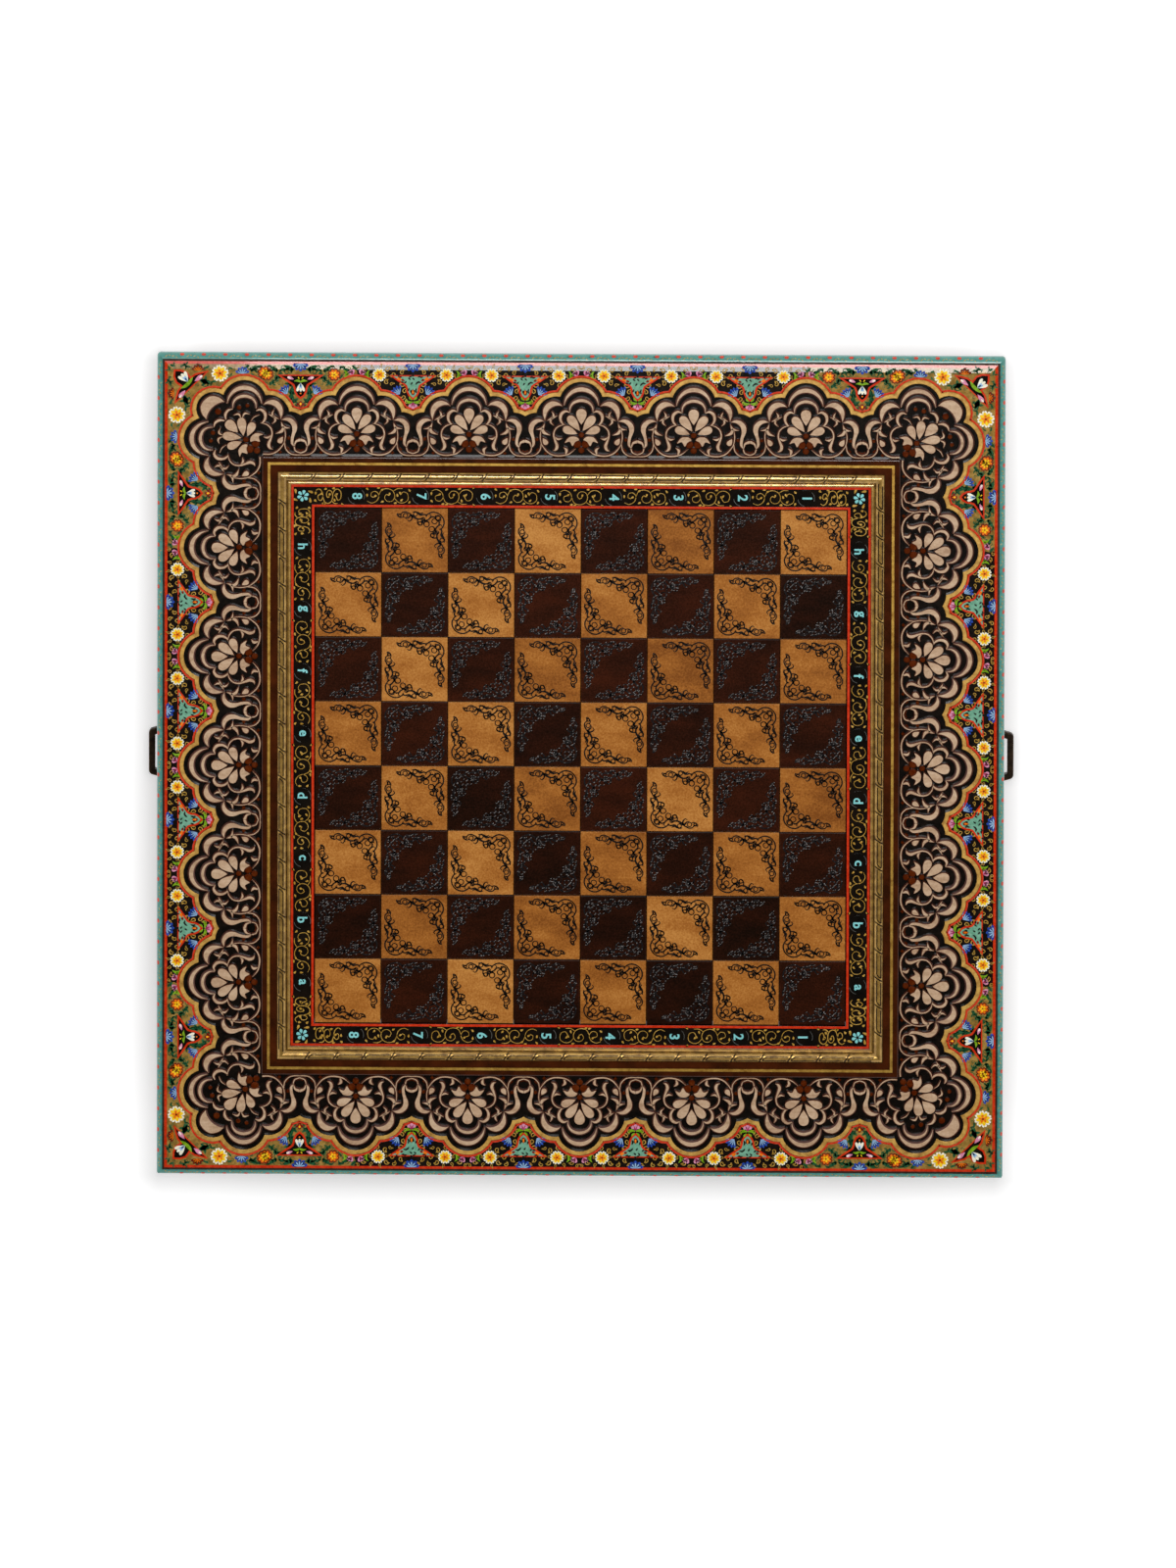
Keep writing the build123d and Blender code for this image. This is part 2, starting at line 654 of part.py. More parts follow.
# Box
save("bottom_panel", bottom_panel())
save("back_wall", long_wall())
save("front_wall", Rot(0, 0, 180) * long_wall())
save("right_wall", drawer_wall())
save("left_wall", Rot(0, 0, 180) * drawer_wall())
save("center_divider", block(-CENTER_T / 2, CENTER_T / 2, WALL_T - BODY, BODY - WALL_T, FLOOR_Z, WALL_Z))
save("corner_blocks", *corner_blocks())
save("drawer_guides", *drawer_guides())
save("bottom_screws", *[Pos(x, y, 0) * bottom_screw() for x, y in screw_spots()])
save("foot_pads", *foot_pads())

# Drawers: light men at the right, dark men at the left
pieces = drawer_nodes()
men = chessmen()
for hand, colour, turn in (("right", "light", 0), ("left", "dark", 180)):
    for name, solids in pieces.items():
        save(f"{hand}_{name}", *[Rot(0, 0, turn) * solid for solid in solids])
    for name, solids in men.items():
        save(f"{colour}_{name}", *[Rot(0, 0, turn) * solid for solid in solids])
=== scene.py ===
import bmesh
import bpy
from math import atan2, cos, pi, radians, sin, sqrt
from mathutils import Matrix, Vector


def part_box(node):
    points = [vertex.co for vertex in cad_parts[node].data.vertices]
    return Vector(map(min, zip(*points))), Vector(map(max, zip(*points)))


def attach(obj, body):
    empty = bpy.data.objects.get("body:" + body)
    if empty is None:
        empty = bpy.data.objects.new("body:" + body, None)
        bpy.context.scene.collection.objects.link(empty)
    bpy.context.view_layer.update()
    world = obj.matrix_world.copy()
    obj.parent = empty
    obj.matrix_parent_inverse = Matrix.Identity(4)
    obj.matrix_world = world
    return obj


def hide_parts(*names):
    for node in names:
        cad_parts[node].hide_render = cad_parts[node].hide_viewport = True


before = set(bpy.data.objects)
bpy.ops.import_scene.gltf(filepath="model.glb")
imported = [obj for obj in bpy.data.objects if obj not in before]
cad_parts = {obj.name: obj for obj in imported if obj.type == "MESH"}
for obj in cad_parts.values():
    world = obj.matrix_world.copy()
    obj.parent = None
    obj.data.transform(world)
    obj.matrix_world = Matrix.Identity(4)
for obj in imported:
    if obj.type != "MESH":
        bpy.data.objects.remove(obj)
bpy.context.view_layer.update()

# Sizes here are millimetres in the frame's axes. Meshes are turned into metres when they are made.
MM = 0.001

# Sides of the board by quarter turns, its corners, and the two signs of what comes in pairs
SIDES = ("back", "right", "front", "left")
CORNERS = ((1, 1), (-1, 1), (-1, -1), (1, -1))
BOTH = (-1, 1)


def low(node):
    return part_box(node)[0] / MM


def high(node):
    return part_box(node)[1] / MM


# Rings of the top, from the centre outwards, and their levels
HALF_GROOVE = 0.2
SQUARES = 8
FIELD = high("light_squares").x + HALF_GROOVE
SQUARE = 2 * FIELD / SQUARES
STRIP_IN = low("lettered_strip_right").x
STRIP_OUT = low("ribbon_moulding_right").x
RIBBON_OUT = low("frame_strip_right").x
FRAME_OUT = high("frame_strip_right").x
BORDER_OUT = high("carved_border").x
PANEL = high("edge_moulding_right").x
FIELD_Z = high("light_squares").z
BORDER_Z = high("carved_border").z
BASE_Z = low("carved_border").z
FRAME_Z = high("frame_strip_right").z
RIBBON_Z = high("ribbon_moulding_right").z
EDGE_Z = high("edge_moulding_right").z
CARVE_DEPTH = 2.8
GROUND_Z = BORDER_Z - CARVE_DEPTH
BEVEL_W = 5.0
BEVEL_DROP = BORDER_Z - EDGE_Z

# Lobed arches of the carved ground, as in the part
ARCHES = 7
ARCH_OUT = 10.4
PITCH = 2 * (FRAME_OUT + ARCH_OUT) / (ARCHES - 1)
CUSP_S = PITCH / 2
NOTCH = (12.4, 37.0)
LOBE_T = 46.1
SHOULDER = (22.0, 34.6)
HEEL = (CUSP_S - 6.7, 27.2)
CUSP = (CUSP_S, 25.0)
THROAT = (CUSP_S - 3.35, (HEEL[1] + CUSP[1]) / 2 + 0.56)
CORNER_LOBE = 35.8
ARCH_CENTRES = [(k - 3) * PITCH for k in range(ARCHES)]
OLIVE_FROM = 2 * PITCH

# Thin parts reach this far into the surface that they lie on
ROOT = 0.2


# Plane geometry

def area(points):
    following = points[1:] + points[:1]
    return sum(x0 * y1 - x1 * y0 for (x0, y0), (x1, y1) in zip(points, following)) / 2


def anticlockwise(points):
    return type(points)(points[::-1]) if area(points) < 0 else points


def polar(x, y, r, angle):
    return x + r * cos(angle), y + r * sin(angle)


def spline(a, b, c, d, u):
    """Value at the share u between b and c on a soft curve through four values."""
    bend = 2 * a - 5 * b + 4 * c - d
    twist = 3 * b - a - 3 * c + d
    return 0.5 * (2 * b + (c - a) * u + bend * u * u + twist * u ** 3)


def smooth(points, steps=5, closed=False):
    """Points on a soft curve through the given ones. A point may carry more than two numbers."""
    n = len(points)
    made = []
    for k in range(n if closed else n - 1):
        p1, p2 = points[k], points[(k + 1) % n]
        p0 = points[k - 1] if closed or k else p1
        p3 = points[(k + 2) % n] if closed or k + 2 < n else p2
        for step in range(steps):
            made.append(tuple(spline(*values, step / steps) for values in zip(p0, p1, p2, p3)))
    return made if closed else made + [tuple(points[-1])]


def arc(a, b, c, steps=10):
    """Points on the circle through three points, without the last one."""
    (ax, ay), (bx, by), (cx, cy) = a, b, c
    d = 2 * (ax * (by - cy) + bx * (cy - ay) + cx * (ay - by))
    aa, bb, cc = ax * ax + ay * ay, bx * bx + by * by, cx * cx + cy * cy
    ux = (aa * (by - cy) + bb * (cy - ay) + cc * (ay - by)) / d
    uy = (aa * (cx - bx) + bb * (ax - cx) + cc * (bx - ax)) / d
    r = sqrt((ax - ux) ** 2 + (ay - uy) ** 2)
    start, middle, end = (atan2(y - uy, x - ux) for x, y in (a, b, c))
    turn = (end - start) % (2 * pi)
    if (middle - start) % (2 * pi) > turn:
        turn -= 2 * pi
    return [polar(ux, uy, r, start + turn * k / steps) for k in range(steps)]


def offset(points, distance, limit=2.2):
    """Closed outline moved outwards, or inwards where the distance is negative."""
    points = anticlockwise(points)
    made = []
    for k, (x, y) in enumerate(points):
        x0, y0 = points[k - 1]
        x1, y1 = points[(k + 1) % len(points)]
        a, b = Vector((x - x0, y - y0)), Vector((x1 - x, y1 - y))
        if a.length < 1e-6 or b.length < 1e-6:
            made.append((x, y))
            continue
        a.normalize()
        b.normalize()
        normal = Vector((a.y + b.y, -a.x - b.x))
        reach = min(2 / max(normal.length, 0.4), limit) * distance
        normal = normal.normalized() if normal.length > 1e-6 else Vector((a.y, -a.x))
        made.append((x + normal.x * reach, y + normal.y * reach))
    return made


class Ribbon(list):
    """Closed outline of a thin shape. Point k lies opposite point n - 1 - k."""


def stroke(points, steps=5, least=0.12):
    """Outline of a soft line. Each point is x, y and the width there."""
    line = smooth(points, steps)
    left, right = [], []
    for k, (x, y, w) in enumerate(line):
        x0, y0, _ = line[max(k - 1, 0)]
        x1, y1, _ = line[min(k + 1, len(line) - 1)]
        run = Vector((x1 - x0, y1 - y0)).normalized()
        half = max(w, least) / 2
        left.append((x - run.y * half, y + run.x * half))
        right.append((x + run.y * half, y - run.x * half))
    return Ribbon(left + right[::-1])


def leaf(outer, inner, steps=5):
    """Outline between two soft lines that share both tips."""
    left, right = smooth(outer, steps), smooth(inner, steps)
    for end, near in ((0, 1), (-1, -2)):
        gap = (Vector(left[near]) - Vector(right[near])).normalized() * 0.05
        right[end] = (left[end][0] - gap.x, left[end][1] - gap.y)
    return Ribbon(left + right[::-1])


def petal(base, tip, width, steps=18):
    """Drop with its point at the base and its round end at the tip."""
    run = Vector((tip[0] - base[0], tip[1] - base[1]))
    side = Vector((-run.y, run.x)).normalized() * width / 2
    taper, fullness = 0.55, 1.3
    made = []
    for k in range(steps):
        a = 2 * pi * k / steps
        along = (1 - cos(a)) / 2
        across = sin(a) * along ** taper * fullness
        made.append((base[0] + run.x * along + side.x * across, base[1] + run.y * along + side.y * across))
    return made


def ray(x, y, length, angle, width, steps=18):
    """Petal that starts at a point and runs out at an angle."""
    return petal((x, y), polar(x, y, length, angle), width, steps)


def disc(x, y, r, steps=16):
    return [polar(x, y, r, 2 * pi * k / steps) for k in range(steps)]


def mirrored(half):
    """Line that is even about its last given point, which lies on the axis."""
    return half + [(-x, *rest) for x, *rest in half[-2::-1]]


def swapped(points):
    """Points on the other side of a corner's diagonal, in the opposite order."""
    return [(y, x) for x, y in points[::-1]]


def moved(points, x=0.0, y=0.0, angle=0.0, size=1.0, flip=False):
    """Points mirrored if asked, then sized, turned and shifted."""
    c, s = cos(angle) * size, sin(angle) * size
    cx, sx = (-c, -s) if flip else (c, s)
    return type(points)((x + cx * px - s * py, y + sx * px + c * py, *rest) for px, py, *rest in points)


def quarter(points, turn):
    """Points turned clockwise round the centre of the board by quarter turns."""
    return moved(points, angle=-turn * pi / 2)


def on_side(points, turn, centre=0.0, flip=False):
    """From a motif's own frame, along a side and outwards from the brown frame, onto the board."""
    return quarter(moved(points, centre, FRAME_OUT, flip=flip), turn)


def corner_spot(points, turn, flip=False):
    """From distances off both centre lines at a corner onto the board. flip swaps the two."""
    made = [(-y, x, *rest) if flip else (-x, y, *rest) for x, y, *rest in points]
    return quarter(type(points)(made), turn)


def on_diagonal(points, turn, flip=False):
    """From a frame whose upward axis runs out along a corner's diagonal onto the board."""
    turned = moved(moved(points, flip=flip), angle=pi / 4)
    return quarter(moved(turned, -FRAME_OUT, FRAME_OUT), turn)


def grown(points, distance):
    """Outline moved outwards, or inwards where the distance is negative and the shape is wide enough."""
    if not isinstance(points, Ribbon):
        return offset(points, distance)
    n = len(points)
    made = Ribbon(points)
    for k in range(n // 2):
        a, b = Vector(points[k]), Vector(points[n - 1 - k])
        middle, half = (a + b) / 2, (a - b) / 2
        size = max(half.length, 0.02)
        half = half.normalized() * max(size + distance, 0.35 * size)
        made[k], made[n - 1 - k] = tuple(middle + half), tuple(middle - half)
    return made


class Shapes:
    """Closed solids gathered into one mesh."""

    def __init__(self):
        self.verts = []
        self.faces = []

    def walls(self, a, b, n):
        """Faces between two closed rings of n points, by the numbers of their first points."""
        for k in range(n):
            j = (k + 1) % n
            self.faces.append((a + k, a + j, b + j, b + k))

    def rings(self, rings, paired=False):
        """Closes a stack of outlines, lowest first. Each has one height, or one for each point."""
        start, n = len(self.verts), len(rings[0][0])
        for points, z in rings:
            heights = z if isinstance(z, list) else [z] * n
            self.verts += [(p[0], p[1], up) for p, up in zip(points, heights)]
        for level in range(len(rings) - 1):
            self.walls(start + level * n, start + (level + 1) * n, n)
        top = len(self.verts) - n
        if paired:
            for k in range(n // 2 - 1):
                self.faces.append((start + n - 1 - k, start + n - 2 - k, start + k + 1, start + k))
                self.faces.append((top + k, top + k + 1, top + n - 2 - k, top + n - 1 - k))
        else:
            self.faces.append(tuple(range(start + n - 1, start - 1, -1)))
            self.faces.append(tuple(range(top, top + n)))

    def prism(self, points, z0, z1, ease=0.0, foot=0.0):
        """Raised shape. A foot widens it up to a slope as deep as the ease, which else narrows its top."""
        outline = anticlockwise(type(points)(p[:2] for p in points))
        if foot:
            wide = grown(outline, foot)
            levels = [(wide, z0), (wide, z1 - ease), (grown(outline, -0.45 * foot), z1)]
        elif ease:
            levels = [(outline, z0), (outline, z1 - ease), (grown(outline, -ease), z1)]
        else:
            levels = [(outline, z0), (outline, z1)]
        self.rings(levels, isinstance(outline, Ribbon))

    def lay(self, points, z, rise):
        """Thin shape on a flat surface."""
        self.prism(points, z - ROOT, z + rise)

    def drape(self, points, height, root=0.12, rise=0.05):
        """Thin line laid on a curved surface whose height is a function of x and y."""
        outline = anticlockwise(Ribbon(p[:2] for p in points))
        lie = [height(x, y) for x, y in outline]
        self.rings([(outline, [z - root for z in lie]), (outline, [z + rise for z in lie])], True)

    def hoop(self, section):
        """Closed section of radius and height, led round the square board with mitred corners."""
        start, n = len(self.verts), len(section)
        for sx, sy in CORNERS:
            self.verts += [(sx * r, sy * r, z) for r, z in section]
        for corner in range(4):
            self.walls(start + (corner + 1) % 4 * n, start + corner * n, n)

    def band(self, outline, d0, d1, z, rise):
        """Raised band with soft edges that follows a closed outline between two offsets."""
        soft = 0.35
        inner, near, far, outer = (offset(outline, d) for d in (d0, d0 + soft, d1 - soft, d1))
        start, n = len(self.verts), len(inner)
        foot, top = z - ROOT, z + rise
        edge = top - 0.7 * (top - foot)
        levels = ((inner, foot), (outer, foot), (outer, edge), (far, top), (near, top), (inner, edge))
        for points, z in levels:
            self.verts += [(x, y, z) for x, y in points]
        for level in range(6):
            self.walls(start + level * n, start + (level + 1) % 6 * n, n)

    def dome(self, matrix, rx, ry, rise, steps=10):
        """Low dome on a plane given by a matrix."""
        start = len(self.verts)
        for share, up in ((1.0, 0.0), (0.75, 0.66)):
            for k in range(steps):
                x, y = polar(0, 0, share, 2 * pi * k / steps)
                self.verts.append(tuple(matrix @ Vector((rx * x, ry * y, rise * up))))
        self.verts.append(tuple(matrix @ Vector((0, 0, rise))))
        self.walls(start, start + steps, steps)
        for k in range(steps):
            self.faces.append((start + steps + k, start + steps + (k + 1) % steps, start + 2 * steps))
        self.faces.append(tuple(range(start + steps - 1, start - 1, -1)))

    def make(self, name, material, slot, body="case"):
        mesh = bpy.data.meshes.new(name)
        mesh.from_pydata([(x * MM, y * MM, z * MM) for x, y, z in self.verts], [], self.faces)
        mesh.materials.append(material)
        piece = bpy.data.objects.new(name, mesh)
        bpy.context.scene.collection.objects.link(piece)
        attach(piece, body)
        return piece


# Materials

def linear(colour):
    """Light values of a colour that is given in the 0 to 255 steps of a picture."""
    steps = [c / 255 for c in colour]
    return tuple(c / 12.92 if c <= 0.04 else ((c + 0.055) / 1.055) ** 2.4 for c in steps) + (1.0,)


class Finish:
    """Small node tree builder for one material."""

    def __init__(self, name, rough=0.5, metal=0.0, coat=0.0, sheen=0.0, spec=0.5):
        self.material = bpy.data.materials.new(name)
        self.material.use_nodes = True
        self.tree = self.material.node_tree
        self.shader = self.tree.nodes["Principled BSDF"]
        self.shader.inputs["Roughness"].default_value = rough
        self.shader.inputs["Metallic"].default_value = metal
        self.shader.inputs["Coat Weight"].default_value = coat
        self.shader.inputs["Coat Roughness"].default_value = 0.05
        self.shader.inputs["Sheen Weight"].default_value = sheen
        self.shader.inputs["Specular IOR Level"].default_value = spec
        self.spot = self.node("ShaderNodeTexCoord").outputs["Object"]

    def node(self, kind, **values):
        made = self.tree.nodes.new(kind)
        for key, value in values.items():
            setattr(made, key, value)
        return made

    def feed(self, socket, value):
        if isinstance(value, bpy.types.NodeSocket):
            self.tree.links.new(value, socket)
        else:
            socket.default_value = value

    def noise(self, scale, detail=3.0, rough=0.55, stretch=(1, 1, 1)):
        place = self.node("ShaderNodeMapping")
        self.feed(place.inputs["Vector"], self.spot)
        place.inputs["Scale"].default_value = stretch
        made = self.node("ShaderNodeTexNoise")
        self.feed(made.inputs["Vector"], place.outputs["Vector"])
        made.inputs["Scale"].default_value = scale
        made.inputs["Detail"].default_value = detail
        made.inputs["Roughness"].default_value = rough
        return made.outputs["Fac"]

    def ramp(self, value, *stops):
        made = self.node("ShaderNodeValToRGB")
        self.feed(made.inputs["Fac"], value)
        steps = made.color_ramp.elements
        while len(steps) < len(stops):
            steps.new(0.5)
        for step, (place, colour) in zip(steps, stops):
            step.position = place
            step.color = linear(colour) if len(colour) == 3 else colour
        return made.outputs["Color"]

    def math(self, kind, a, b=0.0):
        made = self.node("ShaderNodeMath", operation=kind)
        self.feed(made.inputs[0], a)
        self.feed(made.inputs[1], b)
        return made.outputs[0]

    def mix(self, share, a, b):
        made = self.node("ShaderNodeMix", data_type="RGBA")
        self.feed(made.inputs["Factor"], share)
        self.feed(made.inputs[6], linear(a) if isinstance(a, tuple) else a)
        self.feed(made.inputs[7], linear(b) if isinstance(b, tuple) else b)
        return made.outputs[2]

    def colour(self, value):
        self.feed(self.shader.inputs["Base Color"], value)

    def bump(self, value, strength=0.2, depth=0.0003):
        made = self.node("ShaderNodeBump")
        made.inputs["Strength"].default_value = strength
        made.inputs["Distance"].default_value = depth
        self.feed(made.inputs["Height"], value)
        self.feed(self.shader.inputs["Normal"], made.outputs["Normal"])

    def roughness(self, value, a, b):
        made = self.node("ShaderNodeMapRange")
        self.feed(made.inputs["Value"], value)
        made.inputs["To Min"].default_value = a
        made.inputs["To Max"].default_value = b
        self.feed(self.shader.inputs["Roughness"], made.outputs[0])

    def upward(self):
        """1 on faces that look up, 0 on walls."""
        facing = self.node("ShaderNodeNewGeometry").outputs["Normal"]
        split = self.node("ShaderNodeSeparateXYZ")
        self.feed(split.inputs[0], facing)
        return split.outputs["Z"]


def paint(name, colour, spread=16, rough=0.27, coat=0.4, grain=420.0, spec=0.3):
    """Brushed paint: its colour wanders a little, and the brush leaves a fine relief."""
    made = Finish(name, rough=rough, coat=coat, spec=spec)
    dark = tuple(max(0, c - spread) for c in colour)
    light = tuple(min(255, c + spread) for c in colour)
    speck = made.noise(grain, 4.0)
    made.colour(made.ramp(speck, (0.32, dark), (0.55, colour), (0.75, light)))
    made.roughness(speck, rough - 0.07, rough + 0.09)
    made.bump(made.noise(1600.0, 2.0), 0.12, 0.0002)
    return made.material


def gold_leaf(name, dark, light, rough=0.34, metal=0.75, coat=0.0):
    """Gilding with worn, browner places."""
    made = Finish(name, rough=rough, metal=metal, coat=coat)
    wear = made.noise(260.0, 5.0, 0.65)
    made.colour(made.ramp(wear, (0.30, dark), (0.62, light)))
    made.roughness(wear, rough + 0.2, rough - 0.08)
    made.bump(made.noise(900.0, 3.0), 0.25, 0.0002)
    return made.material


def lacquer(name, colour, glow, rough=0.16, coat=0.5):
    """Dark glossy lacquer over wood, with faint dust and a slight orange peel."""
    made = Finish(name, rough=rough, coat=coat, spec=0.2)
    cloud = made.noise(90.0, 5.0, 0.6)
    made.colour(made.ramp(cloud, (0.35, colour), (0.75, glow)))
    made.roughness(made.noise(500.0, 3.0), rough - 0.05, rough + 0.1)
    made.bump(made.noise(1200.0, 3.0), 0.18, 0.00015)
    return made.material


def wood(name, dark, mid, light, rough=0.4, coat=0.2, along=(1, 9, 9), scale=60.0):
    """Straight grain along one axis, with fine pores across it."""
    made = Finish(name, rough=rough, coat=coat)
    band = made.noise(scale, 4.0, 0.6, along)
    pore = made.noise(scale * 9, 3.0, 0.6, along)
    grain = made.math("ADD", made.math("MULTIPLY", band, 0.7), made.math("MULTIPLY", pore, 0.3))
    made.colour(made.ramp(grain, (0.36, dark), (0.5, mid), (0.64, light)))
    made.roughness(pore, rough - 0.06, rough + 0.14)
    made.bump(pore, 0.2, 0.00025)
    return made.material


def veneer(name, dark, mid, light, rough, coat, flip=1.0):
    """Fine short-grained wood that differs a little from square to square."""
    made = Finish(name, rough=rough, coat=coat, spec=0.2)
    cell = made.node("ShaderNodeVectorMath", operation="SNAP")
    made.feed(cell.inputs[0], made.spot)
    cell.inputs[1].default_value = (SQUARE * MM, SQUARE * MM, 1.0)
    tint = made.node("ShaderNodeTexWhiteNoise")
    made.feed(tint.inputs["Vector"], cell.outputs[0])
    fleck = made.noise(900.0, 4.0, 0.7)
    cloud = made.noise(38.0, 4.0, 0.55, (1, 2.2, 1))
    grain = made.math("ADD", made.math("MULTIPLY", fleck, 0.45), made.math("MULTIPLY", cloud, 0.4))
    grain = made.math("ADD", grain, made.math("MULTIPLY", tint.outputs["Value"], 0.15 * flip))
    made.colour(made.ramp(grain, (0.36, dark), (0.5, mid), (0.66, light)))
    made.roughness(fleck, rough - 0.05, rough + 0.15)
    made.bump(fleck, 0.16, 0.0002)
    return made.material


def carved_wood(name):
    """Pale carved wood, with dark brown painted shade on its cut walls and slopes."""
    made = Finish(name, rough=0.42, coat=0.1)
    grain = made.noise(55.0, 5.0, 0.6, (1, 5, 1))
    fleck = made.noise(700.0, 4.0, 0.65)
    tone = made.math("ADD", made.math("MULTIPLY", grain, 0.6), made.math("MULTIPLY", fleck, 0.4))
    pale = made.ramp(tone, (0.36, (158, 124, 94)), (0.5, (184, 152, 121)), (0.66, (202, 174, 144)))
    # Painted shade: faces that do not look up take dark brown instead of the pale wood
    wall = made.node("ShaderNodeMapRange")
    made.feed(wall.inputs["Value"], made.upward())
    wall.inputs["From Min"].default_value = 0.82
    wall.inputs["From Max"].default_value = 0.96
    made.colour(made.mix(wall.outputs[0], (74, 32, 14), pale))
    made.bump(fleck, 0.25, 0.0003)
    return made.material


def border_lacquer(name):
    """Black lacquer that turns to olive gold towards the corners of the board."""
    made = Finish(name, rough=0.24, coat=0.42, spec=0.22)
    split = made.node("ShaderNodeSeparateXYZ")
    made.feed(split.inputs[0], made.spot)
    off_centre = [made.math("ABSOLUTE", split.outputs[axis]) for axis in ("X", "Y")]
    near = made.math("MINIMUM", *off_centre)
    edge = made.math("ADD", near, made.math("MULTIPLY", made.noise(200.0), 0.004))
    corner = made.math("GREATER_THAN", edge, OLIVE_FROM * MM + 0.002)
    rim = made.math("GREATER_THAN", split.outputs["Z"], (GROUND_Z + 0.5 * CARVE_DEPTH) * MM)
    flat = made.math("GREATER_THAN", made.upward(), 0.5)
    share = made.math("MULTIPLY", made.math("MULTIPLY", corner, rim), flat)
    speck = made.noise(330.0, 4.0, 0.6)
    black = made.ramp(speck, (0.35, (9, 6, 4)), (0.7, (26, 18, 11)))
    olive = made.ramp(speck, (0.3, (108, 82, 34)), (0.5, (142, 110, 50)), (0.72, (172, 138, 72)))
    made.colour(made.mix(share, black, olive))
    made.roughness(speck, 0.18, 0.3)
    made.bump(made.noise(1100.0, 3.0), 0.2, 0.00018)
    return made.material


def patina(name):
    """Dark bronze, rubbed brighter where it is handled."""
    made = Finish(name, rough=0.38, metal=0.9)
    cloud = made.noise(240.0, 5.0, 0.65)
    made.colour(made.ramp(cloud, (0.35, (38, 30, 24)), (0.6, (74, 58, 42)), (0.8, (122, 98, 66))))
    made.roughness(cloud, 0.5, 0.28)
    made.bump(made.noise(1500.0, 3.0), 0.15, 0.0002)
    return made.material


def felt(name, dark, light):
    made = Finish(name, rough=0.95, sheen=0.4)
    fibre = made.noise(2600.0, 4.0, 0.7)
    made.colour(made.ramp(fibre, (0.3, dark), (0.7, light)))
    made.bump(fibre, 0.5, 0.0004)
    return made.material


def steel(name):
    made = Finish(name, rough=0.32, metal=1.0)
    brush = made.noise(900.0, 3.0, 0.6, (1, 1, 12))
    made.colour(made.ramp(brush, (0.3, (150, 146, 140)), (0.7, (196, 192, 186))))
    made.bump(brush, 0.1, 0.0001)
    return made.material


RED = paint("red_paint", (198, 50, 14), 14, coat=0.45)
BUFF = carved_wood("carved_maple")
BUD = paint("bud_brown", (84, 32, 4), 10, rough=0.25, coat=0.0, spec=0.1)
GOLD = gold_leaf("gold_line", (136, 92, 28), (216, 172, 78))
LINE_GOLD = gold_leaf("lobed_gold", (150, 104, 36), (216, 170, 84), rough=0.32, metal=0.25)
GILT = gold_leaf("gilt_moulding", (110, 76, 26), (190, 150, 74), rough=0.22, metal=0.5, coat=0.6)
CURL_GOLD = paint("gold_paint", (182, 142, 60), 26, rough=0.3)
MINT = paint("mint_paint", (112, 164, 138), 16)
GREEN = paint("leaf_green", (120, 160, 28), 22)
DEEP_GREEN = paint("deep_green", (30, 84, 50), 16)
PINK = paint("pink_paint", (214, 140, 168), 24)
ROSE = paint("rose_paint", (158, 44, 84), 18)
WHITE = paint("white_paint", (240, 236, 214), 12)
YELLOW = paint("yellow_paint", (246, 200, 30), 20)
ORANGE = paint("orange_paint", (232, 116, 22), 20)
DARK_RED = paint("dark_red_paint", (112, 20, 14), 14)
BLUE = paint("blue_paint", (38, 76, 172), 18)
SKY = paint("sky_paint", (150, 186, 224), 18)
TURQUOISE = paint("turquoise_paint", (132, 204, 204), 12)
INK = paint("ink_line", (14, 8, 5), 5, rough=0.3)
GLINT = paint("engraved_glint", (122, 118, 116), 40, rough=0.3)
RIM_GREY = paint("rim_grey", (84, 84, 80), 16)
ENGRAVED_BLACK = paint("engraved_black", (15, 12, 13), 5, rough=0.3)
SCORE = paint("scored_line", (30, 18, 6), 8, rough=0.4, coat=0.0, spec=0.1)
# Dark brown paint for the line along the outer edge of the border
EDGE_DARK = paint("edge_dark_paint", (46, 26, 14), 8, rough=0.4)
COAT_BLACK = lacquer("coat_black", (8, 6, 4), (22, 16, 10))
FELT = felt("green_felt", (14, 54, 34), (40, 96, 64))


# Outline of the carved ground

def arch_outline():
    """All arches and cusps, side after side, with a lobe at each corner."""
    flank = (CUSP, THROAT, HEEL, SHOULDER, NOTCH)
    start = (ARCH_CENTRES[0] - NOTCH[0], NOTCH[1])
    corner = (-FRAME_OUT - NOTCH[1], -start[0] - FRAME_OUT)
    side = arc(corner, (-FRAME_OUT - CORNER_LOBE, CORNER_LOBE), start)
    for k, centre in enumerate(ARCH_CENTRES):
        left = [(centre - s, t) for s, t in flank]
        right = [(centre + s, t) for s, t in flank[::-1]]
        if k > 0:
            side += arc(*left[:3], steps=5) + arc(*left[2:], steps=9)
        side += arc(left[-1], (centre, LOBE_T), right[0], steps=14)
        if k < ARCHES - 1:
            side += arc(*right[:3], steps=9) + arc(*right[2:], steps=5)
    return [point for turn in range(4) for point in on_side(side, turn)]


ARCH = arch_outline()


# Carved relief. Motif coordinates run along the side and outwards from the brown frame.

